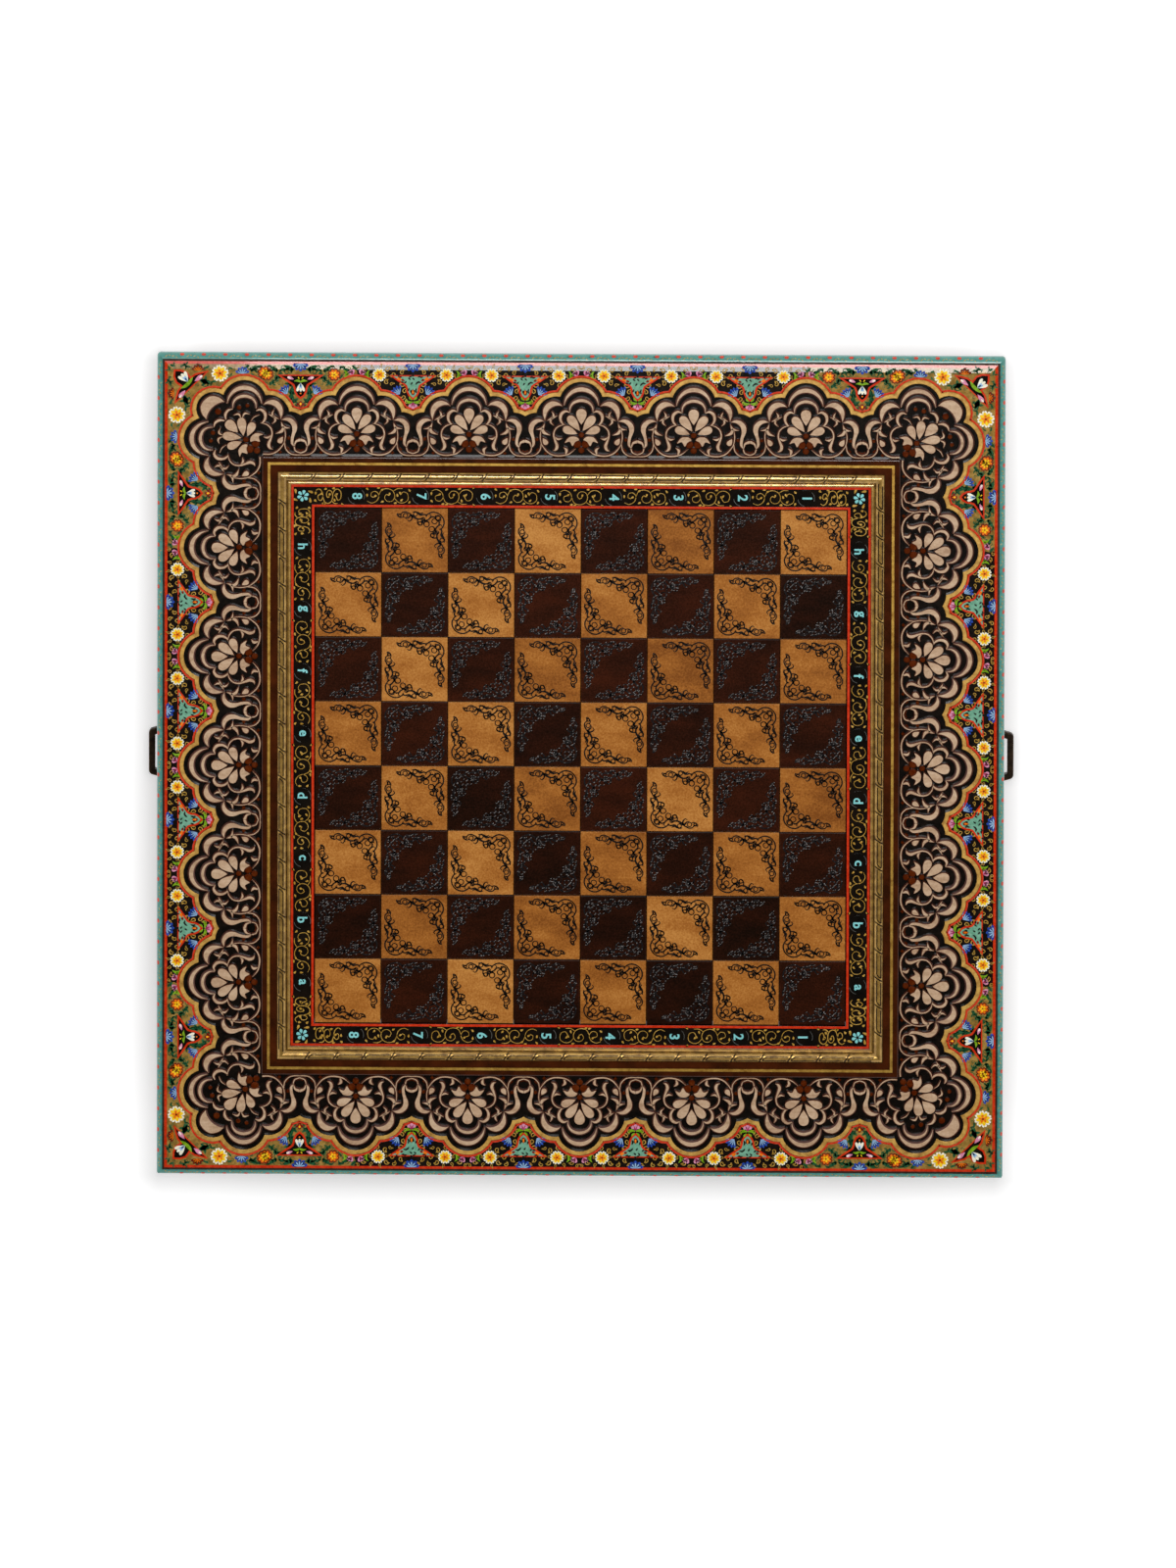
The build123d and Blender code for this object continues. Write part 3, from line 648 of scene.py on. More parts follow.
CENTRE_CRESCENT = mirrored([(-10.3, 31.6, 0.3), (-8.7, 36.4, 1.7), (-4.9, 40.2, 2.6), (0, 41.5, 3.0)])
TREFOIL_TOP = mirrored([(-6.9, 27.3, 0.5), (-6.5, 30.8, 1.3), (-4.2, 33.6, 1.9), (0, 34.8, 2.2)])
HALF_STROKES = [
    [(6.9, 27.4, 0.6), (9.4, 28.2, 1.6), (11.9, 26.3, 2.0), (12.3, 23.1, 1.6), (11.0, 20.6, 1.2),
     (9.4, 19.9, 0.2)],
    [(9.4, 20.1, 0.4), (13.0, 19.2, 0.9), (15.6, 16.8, 1.0), (16.3, 13.4, 1.1), (15.3, 10.0, 1.5),
     (14.3, 7.1, 2.0), (15.0, 4.9, 1.6), (16.8, 4.1, 0.2)],
    [(15.7, 12.8, 0.2), (13.8, 11.2, 1.5), (11.2, 11.7, 0.2)],
    [(20.4, 22.4, 0.2), (17.2, 24.0, 1.5), (14.0, 25.5, 0.2)],
    [(17.0, 24.0, 1.0), (16.4, 26.0, 1.3), (17.6, 28.2, 0.2)],
    [(17.4, 24.0, 1.0), (18.2, 21.6, 1.3), (16.2, 19.4, 0.2)],
    [(21.7, 20.9, 0.2), (23.0, 17.8, 1.7), (26.9, 17.0, 0.2)],
    [(23.0, 18.2, 1.0), (22.0, 15.2, 2.0), (18.3, 13.6, 0.2)],
    [(23.6, 17.4, 0.6), (24.2, 13.0, 0.8), (23.7, 9.0, 0.8), (22.6, 6.6, 0.8), (19.5, 3.0, 1.0),
     (15.5, 1.2, 1.1), (11.0, 1.2, 1.1), (7.0, 2.4, 0.9), (3.4, 5.4, 0.3)],
    [(10.6, 6.2, 0.2), (8.7, 4.6, 1.8), (9.2, 2.2, 0.9)],
    [(23.7, 8.4, 0.7), (24.4, 4.4, 0.9), (27.2, 1.5, 0.9), (30.6, 0.8, 0.9), (33.1, 0.9, 0.8)],
    [(29.3, 5.6, 0.9), (30.2, 3.2, 0.9), (33.1, 2.0, 0.9)],
    [(29.5, 6.2, 0.6), (30.4, 8.9, 1.4), (33.1, 10.0, 2.0)],
]
# Of the strokes above, one is shorter and one is missing where an arch ends at a corner
RIM_ARC = 8
HOOK = 9
SIDE_CRESCENT = (
    [(10.9, 31.1), (13.2, 33.4), (17.0, 34.4), (20.5, 32.8), (22.6, 29.4), (22.6, 25.5), (21.4, 22.2)],
    [(10.9, 31.1), (13.4, 31.5), (16.0, 31.0), (18.4, 29.5), (20.0, 27.2), (20.8, 24.8), (21.4, 22.2)],
)
LYRE = (
    [(21.6, 22.0), (24.4, 23.5), (27.8, 23.0), (30.6, 20.2), (31.1, 16.6), (29.5, 12.4), (28.8, 8.4),
     (29.6, 5.4)],
    [(21.6, 22.0), (25.3, 21.2), (27.7, 18.8), (28.2, 15.3), (27.4, 11.4), (27.4, 7.6), (29.6, 5.4)],
)
DROP = ((22.8, 12.0), (20.2, 7.8), 3.4)
HALF_ARCH_BUDS = [(26.2, 10.6, 1.1, 12), (19.0, 30.4, 0.9, 12), (25.4, 4.0, 1.5, 4), (21.0, 2.0, 1.2, 4)]
PALMETTE = [
    ((0.0, 20.0), (0.0, 29.8), 6.4),
    ((0.7, 16.2), (7.7, 25.3), 5.5),
    ((2.2, 14.5), (10.9, 18.0), 5.1),
]
LOW_PETAL = [
    (1.2, 10.8), (2.8, 12.6), (5.4, 12.9), (7.8, 12.0), (9.8, 8.8), (7.0, 9.6), (5.2, 6.9), (3.4, 9.5),
]
PALMETTE_BUDS = [(0, 13.5, 1.7), (-2.5, 7.9, 2.4), (2.5, 7.9, 2.4), (0, 4.2, 1.9)]
SPROUT = [
    [(-1.9, 22.8, 0.3), (-3.5, 25.4, 1.3), (-6.6, 24.5, 0.2)],
    [(-1.4, 23.0, 0.3), (0.3, 25.8, 1.3), (3.3, 25.2, 0.2)],
    [(3.6, 20.7, 0.3), (5.6, 23.5, 0.7), (8.8, 25.0, 0.4)],
]
SPROUT_BUDS = [(-3.2, 29.0, 1.4), (1.7, 30.2, 1.2)]
CORNER_BUD = (0.4, 37.0, 1.9)
CORNER_CRESCENT = [half + swapped(half[:-1]) for half in (
    [(210.2, 220.9), (213.4, 223.7), (218.2, 224.6), (222.2, 222.2)],
    [(210.2, 220.9), (212.8, 220.3), (215.4, 219.0), (217.4, 217.4)],
)]
CORNER_LOBELET = [(205.4, 216.7, 0.5), (208.2, 215.8, 1.5), (209.8, 213.2, 1.7), (209.5, 210.2, 0.7)]
CORNER_LIFT = 1.6

# Round boss over each cusp, and the widths of the light swept over it by angle
BOSS_T = 5.2
BOSS_R = 3.0
SWEEP_R = 2.1
SWEEP = [(3.5, 0.2), (4.1, 0.9), (4.7, 1.2), (5.3, 0.9), (5.9, 0.2)]

RELIEF_Z = BORDER_Z - 0.1
EASE = 0.75
FOOT = 0.6
THIN_FOOT = 0.4
SPROUT_FOOT = 0.3
PETAL_FOOT = 0.25


class Relief(Shapes):
    """Forms that stand on the carved ground."""

    def rise(self, points, foot=FOOT, sunk=0.0):
        """Form with a sloping rim that comes up to the border's own level."""
        self.prism(points, GROUND_Z, RELIEF_Z - sunk, EASE, foot)

    def stud(self, points, height=1.6, ease=0.4):
        """Lower form with an eased top."""
        self.prism(points, GROUND_Z, GROUND_Z + height, ease)


def palmette(buff, bud, place):
    """Open flower of the carving. place puts motif points on the board."""
    for base, tip, width in PALMETTE:
        for flip in ((False,) if tip[0] == 0 else (False, True)):
            buff.rise(place(petal(base, tip, width, 24), flip), PETAL_FOOT)
    for flip in (False, True):
        buff.rise(place(smooth(LOW_PETAL, 4, closed=True), flip), SPROUT_FOOT, sunk=0.3)
    for x, y, r in PALMETTE_BUDS:
        bud.stud(place(disc(x, y, r, 14), False), 1.9, 0.6)


def half_arch(buff, bud, place, whole=True):
    """Right half of the carving in an arch, with the lyre that it shares with the next one."""
    lines = list(HALF_STROKES)
    if not whole:
        lines[RIM_ARC] = lines[RIM_ARC][:-2]
        del lines[HOOK]
    for line in lines:
        buff.rise(place(stroke(line)), THIN_FOOT)
    for shape in (leaf(*SIDE_CRESCENT), leaf(*LYRE)):
        buff.rise(place(shape))
    buff.rise(place(petal(*DROP)), THIN_FOOT)
    for spot in HALF_ARCH_BUDS:
        bud.stud(place(disc(*spot)))


def corner_carving(buff, bud, turn):
    """Palmette and crescent on the diagonal between two sides."""
    palmette(buff, bud, lambda points, flip: on_diagonal(points, turn, flip))
    buff.rise(corner_spot(leaf(*CORNER_CRESCENT), turn))
    for flip in (False, True):
        buff.rise(corner_spot(stroke(CORNER_LOBELET), turn, flip), THIN_FOOT)
    bud.stud(on_diagonal(disc(*CORNER_BUD, 12), turn))


def arch_carving(buff, bud, boss, turn, k):
    """Carving in one arch, and the boss over the cusp after it. The end arches are half ones."""
    def place(points, flip=False):
        return on_side(points, turn, ARCH_CENTRES[k], flip)

    by_corner = k in (0, ARCHES - 1)
    buff.rise(place(stroke(CENTRE_CRESCENT)))
    buff.rise(place(moved(stroke(TREFOIL_TOP), 0, CORNER_LIFT if by_corner else 0.0)))
    if by_corner:
        flip = k > 0
        half_arch(buff, bud, lambda points: place(points, flip), whole=False)
        for line in SPROUT:
            buff.rise(place(stroke(line), flip), SPROUT_FOOT)
        for spot in SPROUT_BUDS:
            bud.stud(place(disc(*spot, 12), flip))
    else:
        half_arch(buff, bud, place)
        half_arch(buff, bud, lambda points: place(points, True))
        palmette(buff, bud, place)
    if k < ARCHES - 1:
        boss.stud(place(disc(CUSP_S, BOSS_T, BOSS_R, 20)), 1.2, 0.5)
        sweep = [polar(CUSP_S, BOSS_T, SWEEP_R, a) + (w,) for a, w in SWEEP]
        bud.stud(place(stroke(sweep, 3)), 1.5, 0.2)


def carving():
    """Carved forms of the four sides, each side with the corner after it."""
    for turn, side in enumerate(SIDES):
        buff, bud, boss = Relief(), Relief(), Relief()
        for k in range(ARCHES):
            arch_carving(buff, bud, boss, turn, k)
        corner_carving(buff, bud, turn)
        buff.make(f"carving_{side}", BUFF, "black_lacquer")
        bud.make(f"carved_buds_{side}", BUD, "black_lacquer")
        boss.make(f"carved_rings_{side}", COAT_BLACK, "black_lacquer")


# Painted flowers of the border

PAINT_Z = BORDER_Z + 0.08
PAINT_ROOT = 0.3
LAYER = 0.05
WARM = (DARK_RED, ORANGE, YELLOW)
PALE = (WHITE, YELLOW, ORANGE)
BLUES = (BLUE, SKY)
CURL = [
    (1.9, -0.5, 0.1), (1.2, 0.8, 0.42), (-0.3, 1.2, 0.55), (-1.3, 0.3, 0.5), (-0.9, -0.8, 0.42),
    (0.1, -0.7, 0.36), (0.2, 0.1, 0.5),
]
CURLS = [
    (4.6, 53.0, 0.2, 0.9), (9.3, 54.3, 2.0, 0.7), (18.4, 53.2, 0.5, 1.0), (21.2, 49.8, 3.6, 1.1),
    (17.6, 45.6, 1.2, 1.0), (12.8, 43.9, 4.4, 0.9), (26.8, 44.0, 2.6, 1.0), (28.4, 40.2, 0.7, 1.0),
    (27.2, 36.2, 3.3, 1.0), (29.5, 33.6, 1.8, 0.8), (30.6, 30.2, 4.8, 0.6), (22.8, 54.0, 5.2, 0.9),
    (26.8, 51.4, 1.0, 0.9), (29.6, 54.2, 2.9, 0.8), (1.2, 54.8, 3.9, 0.7), (17.8, 49.6, 2.4, 0.7),
    (24.6, 47.2, 5.0, 0.8), (20.6, 44.2, 0.3, 0.7), (14.4, 54.9, 1.3, 0.6), (8.4, 49.6, 4.4, 0.6),
]
LEAVES = [
    (5.8, 52.4, 0.5, 1.3), (17.8, 52.9, 2.6, 1.4), (20.2, 48.6, 4.2, 1.6), (16.4, 44.6, 0.9, 1.2),
    (26.6, 44.6, 5.4, 1.7), (28.2, 39.4, 1.7, 1.7), (26.8, 35.4, 4.6, 1.5), (29.8, 33.6, 0.9, 1.3),
    (26.6, 53.6, 2.9, 1.9), (1.6, 54.0, 1.0, 1.0), (22.6, 52.4, 0.3, 1.2), (8.6, 54.4, 3.4, 1.0),
    (18.6, 46.8, 2.2, 1.0), (24.0, 48.8, 0.9, 1.2), (9.0, 48.6, 5.6, 0.9), (14.6, 54.6, 0.2, 0.8),
    (30.4, 30.2, 4.9, 1.0),
]
BLADE = (
    [(-2.0, 0.0), (-1.2, 0.7), (-0.2, 0.95), (0.9, 0.7), (2.1, -0.35)],
    [(-2.0, 0.0), (-1.1, -0.35), (-0.1, -0.6), (1.0, -0.7), (2.1, -0.35)],
)
STAR_PETALS = [
    (-0.4, WHITE, 1.0), (0.4, WHITE, 1.0), (0.0, WHITE, 0.95),
    (-0.17, SKY, 0.6), (0.17, SKY, 0.6), (0.0, BLUE, 0.42),
]
BUD_TWIGS = [
    [(7.4, 47.9, 0.3), (6.2, 49.4, 1.6), (6.4, 51.2, 1.2), (7.6, 52.6, 0.2)],
    [(6.2, 49.6, 0.4), (4.9, 50.4, 1.0), (4.4, 51.6, 0.2)],
]
CARTOUCHE = mirrored([
    (13.9, 49.6), (9.4, 46.2), (6.3, 44.2), (4.6, 43.0), (4.0, 41.2), (3.7, 39.0), (2.5, 36.6), (0.0, 34.6),
])
CARTOUCHE_LINE = 1.15

# Rows of paint, layer, base, tip, width and steps. Pairs stand on both sides of the cusp.
OLIVE_PAIRS = [
    (PINK, 2, (3.9, 46.8), (7.8, 48.2), 2.0, 10),
    (WHITE, 3, (5.6, 47.2), (7.8, 48.2), 1.0, 8),
    (YELLOW, 2, (0.6, 47.0), (1.6, 48.2), 0.7, 8),
    (DEEP_GREEN, 0, (3.4, 33.0), (5.4, 38.4), 1.3, 18),
    (DARK_RED, 1, (0.4, 31.2), (2.4, 31.9), 1.6, 8),
]
OLIVE_MIDDLE = [
    (DARK_RED, 1, (0, 32.6), (0, 29.6), 2.4, 10),
    (DARK_RED, 1, (0, 30.8), (0, 33.6), 2.0, 10),
    (ORANGE, 2, (0, 30.4), (0, 32.8), 1.5, 10),
]
OLIVE_TWIGS = [
    (2, [(0, 45.0, 0.5), (1.6, 46.0, 1.5), (3.9, 45.7, 0.2)]),
]
MINT_PAIRS = [
    (ORANGE, 2, (6.4, 46.6), (9.2, 48.0), 2.0, 10),
    (DARK_RED, 3, (4.8, 46.2), (6.6, 47.0), 1.5, 10),
]
MINT_MIDDLE = [
    (DARK_RED, 2, (0, 41.4), (0, 37.6), 2.2, 12),
    (ORANGE, 3, (0, 41.0), (0, 38.4), 1.3, 10),
    *[(PINK, 1, (0, 33.2), (3.0 * sin(a), 33.2 - 4.2 * cos(a)), 2.2, 12) for a in (-0.8, 0.0, 0.8)],
    *[(ROSE, 2, (0, 33.4), (1.8 * sin(a), 33.4 - 2.6 * cos(a)), 0.8, 10) for a in (-0.4, 0.4)],
]
MINT_TWIGS = [
    (1, [(0.3, 33.6, 0.5), (1.9, 32.9, 1.9), (4.6, 34.6, 0.2)]),
    (1, [(0.5, 34.6, 0.4), (1.8, 35.6, 1.1), (2.2, 36.8, 0.2)]),
]
MINT_BITS = [
    (2.6, 48.3, 0.4), (1.2, 46.6, 2.4), (3.6, 46.2, 4.0), (1.4, 43.6, 1.0), (1.5, 40.8, 5.0),
    (8.6, 48.2, 1.4), (5.0, 45.2, 3.0), (0.3, 48.6, 1.5), (6.2, 48.6, 3.3), (0.8, 38.6, 1.6),
    (2.2, 42.0, 4.4),
]

CORNER_HALF = [
    (240.3, 240.6), (236.0, 240.5), (232.4, 239.2), (230.3, 236.2), (227.9, 238.1), (224.2, 239.1),
    (219.3, 240.0),
]
CORNER_CARTOUCHE = CORNER_HALF + swapped(CORNER_HALF[1:])
CORNER_LINE = 1.1
CORNER_TWIG = [(236.0, 229.2, 0.3), (233.4, 230.6, 1.9), (230.8, 233.2, 1.9), (229.0, 236.0, 0.3)]
CORNER_LEAVES = [
    (221.4, 233.0, 0.5, 1.8), (243.0, 241.0, 1.4, 0.9), (232.0, 242.2, 0.3, 0.9),
    (220.8, 242.0, 2.9, 0.9), (206.8, 241.4, 0.4, 0.8), (193.4, 241.6, 2.6, 1.2),
    (228.0, 232.2, 0.9, 0.8), (233.6, 222.6, 1.2, 1.8), (216.6, 233.2, 0.2, 0.9),
    (206.6, 237.6, 2.4, 0.7), (193.8, 237.6, 0.8, 0.7), (243.2, 233.4, 0.8, 0.9),
    (234.6, 243.3, 2.7, 0.8), (225.8, 243.4, 0.6, 0.7),
]


class Palette:
    """One set of shapes for each paint, all on the top of the border."""

    def __init__(self):
        self.shapes = {}

    def add(self, colour, points, layer=0):
        shapes = self.shapes.setdefault(colour, Shapes())
        shapes.prism(points, PAINT_Z - PAINT_ROOT, PAINT_Z + LAYER * layer)

    def petals(self, place, rows, sign=1):
        """Petals from rows as above, mirrored where the sign is -1."""
        for colour, layer, (x0, y0), (x1, y1), width, steps in rows:
            self.add(colour, place(petal((sign * x0, y0), (sign * x1, y1), width, steps)), layer)

    def make(self, prefix):
        for colour, shapes in self.shapes.items():
            shapes.make(f"{prefix}_{colour.name}", colour, "black_lacquer")


def daisy(palette, x, y, r, turn, colours):
    """Open flower: two rows of petals and a heart."""
    outer, inner, heart = colours
    for k in range(8):
        a = turn + k * pi / 4
        for side in (-0.15, 0.15):
            palette.add(outer, ray(x, y, r, a + side, 0.34 * r, 14), 1)
        palette.add(inner, ray(x, y, 0.8 * r, a, 0.4 * r, 12), 2)
    for k in range(5):
        palette.add(heart, ray(x, y, 0.5 * r, turn + 0.3 + k * 0.4 * pi, 0.28 * r, 12), 3)
    palette.add(DARK_RED, disc(x, y, 0.12 * r, 8), 4)


def half_flower(palette, x, y, r, up, colours, spread=0.6):
    """Fan of petals seen from the side, opening towards the angle up."""
    outer, inner = colours
    for k in range(5):
        a = up + (k - 2) * spread
        palette.add(outer, ray(x, y, r, a, 0.5 * spread * r, 12), 1)
        for side in (0.3 * spread, -0.3 * spread):
            palette.add(outer, ray(x, y, 0.9 * r, a + side, 0.24 * spread * r, 8), 1)
        palette.add(inner, ray(x, y, 0.7 * r, a, 0.26 * spread * r, 8), 2)


def tulip(palette, x, y, r, up, colours):
    """Three closed petals on a heart."""
    outer, inner = colours
    for spread in (-0.5, 0.5, 0.0):
        palette.add(outer, ray(x, y, r, up + spread, 0.62 * r), 1)
    palette.add(inner, ray(x, y, 0.55 * r, up, 0.34 * r), 2)


def star_tulip(palette, place, spot, reach, lean=0.0):
    """White and blue flower: white petals open over a blue heart. Without a lean it points inwards."""
    for spread, colour, share in STAR_PETALS:
        length = reach * share
        points = ray(*spot, length, lean + spread - pi / 2, 0.32 * length, 12)
        palette.add(colour, place(points), 2 if colour is WHITE else 3)


def curl(x, y, angle, size, steps=3):
    """Small comma scroll."""
    line = [(px * size, py * size, w * size) for px, py, w in CURL]
    return moved(stroke(line, steps), x, y, angle)


def blade(x, y, angle, size, steps=2):
    """Small pointed leaf."""
    return moved(leaf(*BLADE, steps), x, y, angle, size)


def foliage(palette, place, olive):
    """Scrolls on the black ground, in gold, or leaves on the olive one, in green."""
    if olive:
        for x, y, a, size in LEAVES:
            palette.add(DEEP_GREEN, place(blade(x, y, a, 0.95 * size, 3)), -1)
            palette.add(DEEP_GREEN, place(blade(x + 1.1, y - 1.0, a + 1.9, 0.55 * size)), -1)
            palette.add(DEEP_GREEN, place(blade(x - 1.4, y - 0.6, a + 0.8, 0.5 * size)), -1)
        for x, y, a, size in CURLS:
            palette.add(DEEP_GREEN, place(curl(x, y, a + 1.1, 0.9 * size)), -1)
        return
    for x, y, a, size in CURLS:
        palette.add(CURL_GOLD, place(curl(x, y, a, size)), -1)
        twig = petal((x + 0.2, y), polar(x, y, 1.9, a), size, 8)
        palette.add(CURL_GOLD, place(twig), -1)


def cusp_painting(palette, place, olive):
    """Cartouche over a cusp, with the flower in its tip. Its frame is centred on the cusp."""
    if olive:
        inside, pairs, middle, twigs = COAT_BLACK, OLIVE_PAIRS, OLIVE_MIDDLE, OLIVE_TWIGS
    else:
        inside, pairs, middle, twigs = MINT, MINT_PAIRS, MINT_MIDDLE, MINT_TWIGS
    palette.add(RED, place(CARTOUCHE))
    palette.add(inside, place(offset(CARTOUCHE, -CARTOUCHE_LINE)), 1)
    if olive:
        star_tulip(palette, place, (0, 44.6), 5.6)
        palette.add(ORANGE, place(disc(0, 38.2, 0.5, 8)), 2)
    for sign in BOTH:
        for layer, line in twigs:
            palette.add(GREEN, place(stroke([(sign * x, y, w) for x, y, w in line])), layer)
        palette.petals(place, pairs, sign)
        if not olive:
            for x, y, a in MINT_BITS:
                palette.add(INK, place(ray(sign * x, y, 2.1, a, 1.1, 8)), 2)
    palette.petals(place, middle)
    if olive:
        palette.add(YELLOW, place(disc(0, 31.9, 0.5, 8)), 3)


def apex_painting(palette, turn, centre, flip, olive, by_corner):
    """Flowers over one half of an arch."""
    def place(points):
        return on_side(points, turn, centre, flip)

    sign = -1 if flip else 1
    out = pi / 2 - turn * pi / 2
    foliage(palette, place, olive)
    bloom, bell, bud = place([(13.3, 49.8), (25.3, 38.0), (2.3, 49.7)])
    daisy(palette, *bloom, 4.0 if olive else 4.2, 0.4 * sign, WARM if olive else PALE)
    half_flower(palette, *bell, 5.6, out + sign * 0.75, BLUES, 0.405)
    if by_corner:
        return
    tulip(palette, *bud, 3.3, out - sign * 0.5, (PINK, ROSE))
    for line in BUD_TWIGS:
        palette.add(GREEN, place(stroke(line)), 1)


def corner_flowers(palette, turn, flip):
    """Flowers and leaves on one side of a corner's cartouche."""
    def spot(points):
        return corner_spot(points, turn, flip)

    out = (pi if flip else pi / 2) - turn * pi / 2
    palette.add(PINK, spot(petal((228.0, 233.4), (223.6, 237.0), 2.6, 12)), 2)
    palette.add(WHITE, spot(petal((225.4, 235.4), (223.4, 237.0), 1.1, 8)), 3)
    bloom, fan, bell, star = spot([(213.0, 238.4), (226.0, 239.9), (199.8, 238.2), (186.8, 238.9)])
    daisy(palette, *bloom, 5.2, 0.2, PALE)
    half_flower(palette, *fan, 4.0, out, (DARK_RED, ORANGE))
    half_flower(palette, *bell, 4.4, out, BLUES)
    daisy(palette, *star, 4.2, 0.5, WARM)
    for x, y, a, size in CORNER_LEAVES:
        palette.add(DEEP_GREEN, spot(blade(x, y, a, 0.95 * size, 3)), -1)
        palette.add(DEEP_GREEN, spot(blade(x + 1.3, y - 0.9, a + 1.8, 0.6 * size)), -1)
        palette.add(DEEP_GREEN, spot(curl(x - 1.8, y - 1.0, a + 0.6, 0.7 * size, 2)), -1)


def corner_painting(palette, turn):
    """Cartouche on the diagonal, with the flowers at both of its sides."""
    palette.add(RED, corner_spot(CORNER_CARTOUCHE, turn))
    palette.add(COAT_BLACK, corner_spot(offset(CORNER_CARTOUCHE, -CORNER_LINE), turn), 1)
    star_tulip(palette, lambda points: corner_spot(points, turn), (231.9, 233.2), 6.6, 2.45)
    palette.add(GREEN, corner_spot(stroke(CORNER_TWIG), turn), 2)
    for flip in (False, True):
        corner_flowers(palette, turn, flip)


def side_painting(palette, turn):
    """Flowers over the arches and cusps of one side."""
    inner_edge = BORDER_OUT - 1.6 - FRAME_OUT
    for k, centre in enumerate(ARCH_CENTRES):
        by_corner = k in (0, ARCHES - 1)
        for flip in (False, True):
            outwards = -centre if flip else centre
            if by_corner and outwards > 0:
                continue
            olive = outwards > OLIVE_FROM - 1 or abs(centre) > OLIVE_FROM + 1
            apex_painting(palette, turn, centre, flip, olive, by_corner)
        if k == ARCHES - 1:
            continue
        middle = centre + CUSP_S
        cusp_painting(palette, lambda points: on_side(points, turn, middle), abs(middle) > OLIVE_FROM)
        fan = on_side([(0, inner_edge)], turn, middle)[0]
        half_flower(palette, *fan, 4.8, -turn * pi / 2 - pi / 2, BLUES, 0.66)


def floral_band():
    """All painted flowers and leaves of the border."""
    palette = Palette()
    for turn in range(4):
        side_painting(palette, turn)
        corner_painting(palette, turn)
    palette.make("border_paint")


# Lines round the board

def lobed_lines():
    """Gold and red line along the edge of the carved ground."""
    gold, red = Shapes(), Shapes()
    gold.band(ARCH, 0.0, 2.4, BORDER_Z, 0.4)
    gold.make("lobed_gold_line", LINE_GOLD, "gilt")
    red.band(ARCH, 2.5, 3.9, BORDER_Z, 0.2)
    red.make("lobed_red_line", RED, "black_lacquer")


def flat_ring(shapes, r0, r1, z, rise, z_outer=None):
    """Low flat ring between two half sizes, on a flat or a bevel."""
    z_outer = z if z_outer is None else z_outer
    shapes.hoop([(r0, z - ROOT), (r1, z_outer - ROOT), (r1, z_outer + rise), (r0, z + rise)])


def bevel_z(r):
    """Height of the border's outer bevel."""
    return BORDER_Z - BEVEL_DROP * (r - (BORDER_OUT - BEVEL_W)) / BEVEL_W


def straight_lines():
    """Red lines beside the strips and the bevel, a dark line along the outer edge of the border and the
    gold line of the frame.
    """
    red, dark_ring, gold = Shapes(), Shapes(), Shapes()
    r0, r1 = BORDER_OUT - 2.1, BORDER_OUT - 0.5
    flat_ring(red, r0, r1, bevel_z(r0), 0.1, bevel_z(r1))
    flat_ring(red, STRIP_OUT - 1.6, STRIP_OUT - 0.2, FIELD_Z, 0.12)
    flat_ring(red, STRIP_IN + 0.3, STRIP_IN + 1.7, FIELD_Z, 0.12)
    red.make("red_lines", RED, "black_lacquer")
    # Dark line painted where the border meets the green edge
    flat_ring(dark_ring, BORDER_OUT - 0.45, BORDER_OUT + 0.8, EDGE_Z, 0.1)
    dark_ring.make("edge_dark_line", EDGE_DARK, "black_lacquer")
    mid, foot, top = (RIBBON_OUT + FRAME_OUT) / 2 + 0.4, FRAME_Z - ROOT, FRAME_Z + 0.35
    gold.hoop([(mid - 0.95, foot), (mid + 0.95, foot), (mid + 0.7, top), (mid - 0.7, top)])
    gold.make("frame_gold_line", GOLD, "gilt")


# Gilt moulding: a half round beside a fine bead, scored into blocks by slanting lines

BEAD_IN = STRIP_OUT + 0.2
BEAD_OUT = STRIP_OUT + 2.1
ROUND_IN = BEAD_OUT + 0.3
ROUND_MIDDLE = (ROUND_IN + RIBBON_OUT) / 2
ROUND_HALF = (RIBBON_OUT - ROUND_IN) / 2
ROUND_FOOT = BASE_Z + 5.8
ROUND_RISE = RIBBON_Z - ROUND_FOOT - 0.06
BLOCKS = 21
BLOCK = 2 * ROUND_MIDDLE / BLOCKS
SCORED = [
    [(0.0, -2.6, 0.9), (0.7, -1.6, 0.75), (2.2, 0.6, 0.75), (3.3, 2.5, 0.9)],
    [(2.4, -0.9, 0.65), (BLOCK - 1.2, -0.9, 0.65)],
    [(4.0, 1.5, 0.65), (BLOCK + 1.2, 1.5, 0.65)],
    [(BLOCK - 1.2, -0.9, 0.65), (BLOCK + 0.2, 0.2, 0.65), (BLOCK + 1.2, 1.5, 0.65)],
]


def round_height(x, y):
    """Height of the half round over a point of the board."""
    share = (max(abs(x), abs(y)) - ROUND_MIDDLE) / ROUND_HALF
    return ROUND_FOOT + ROUND_RISE * sqrt(max(0.0, 1 - share * share))


def half_oval(middle, half, rise, steps):
    angles = [pi * j / steps for j in range(steps + 1)]
    return [(middle + half * cos(a), ROUND_FOOT + rise * sin(a)) for a in angles]


def ribbon_moulding():
    """Section of the moulding, led round the board in one loop."""
    bead_r = (BEAD_OUT - BEAD_IN) / 2
    half_round = half_oval(ROUND_MIDDLE, ROUND_HALF, ROUND_RISE, 18)
    bead = half_oval(BEAD_IN + bead_r, bead_r, 0.9, 8)
    lip, channel, base = BEAD_IN - 0.15, ROUND_FOOT - 0.3, BASE_Z + 0.1
    shapes = Shapes()
    shapes.hoop(
        [(RIBBON_OUT - 0.02, base)] + half_round + [(ROUND_IN, channel), (BEAD_OUT, channel)]
        + bead + [(lip, ROUND_FOOT), (lip, base)])
    piece = shapes.make("ribbon_moulding", GILT, "gilt")
    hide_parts(*[f"ribbon_moulding_{side}" for side in SIDES])


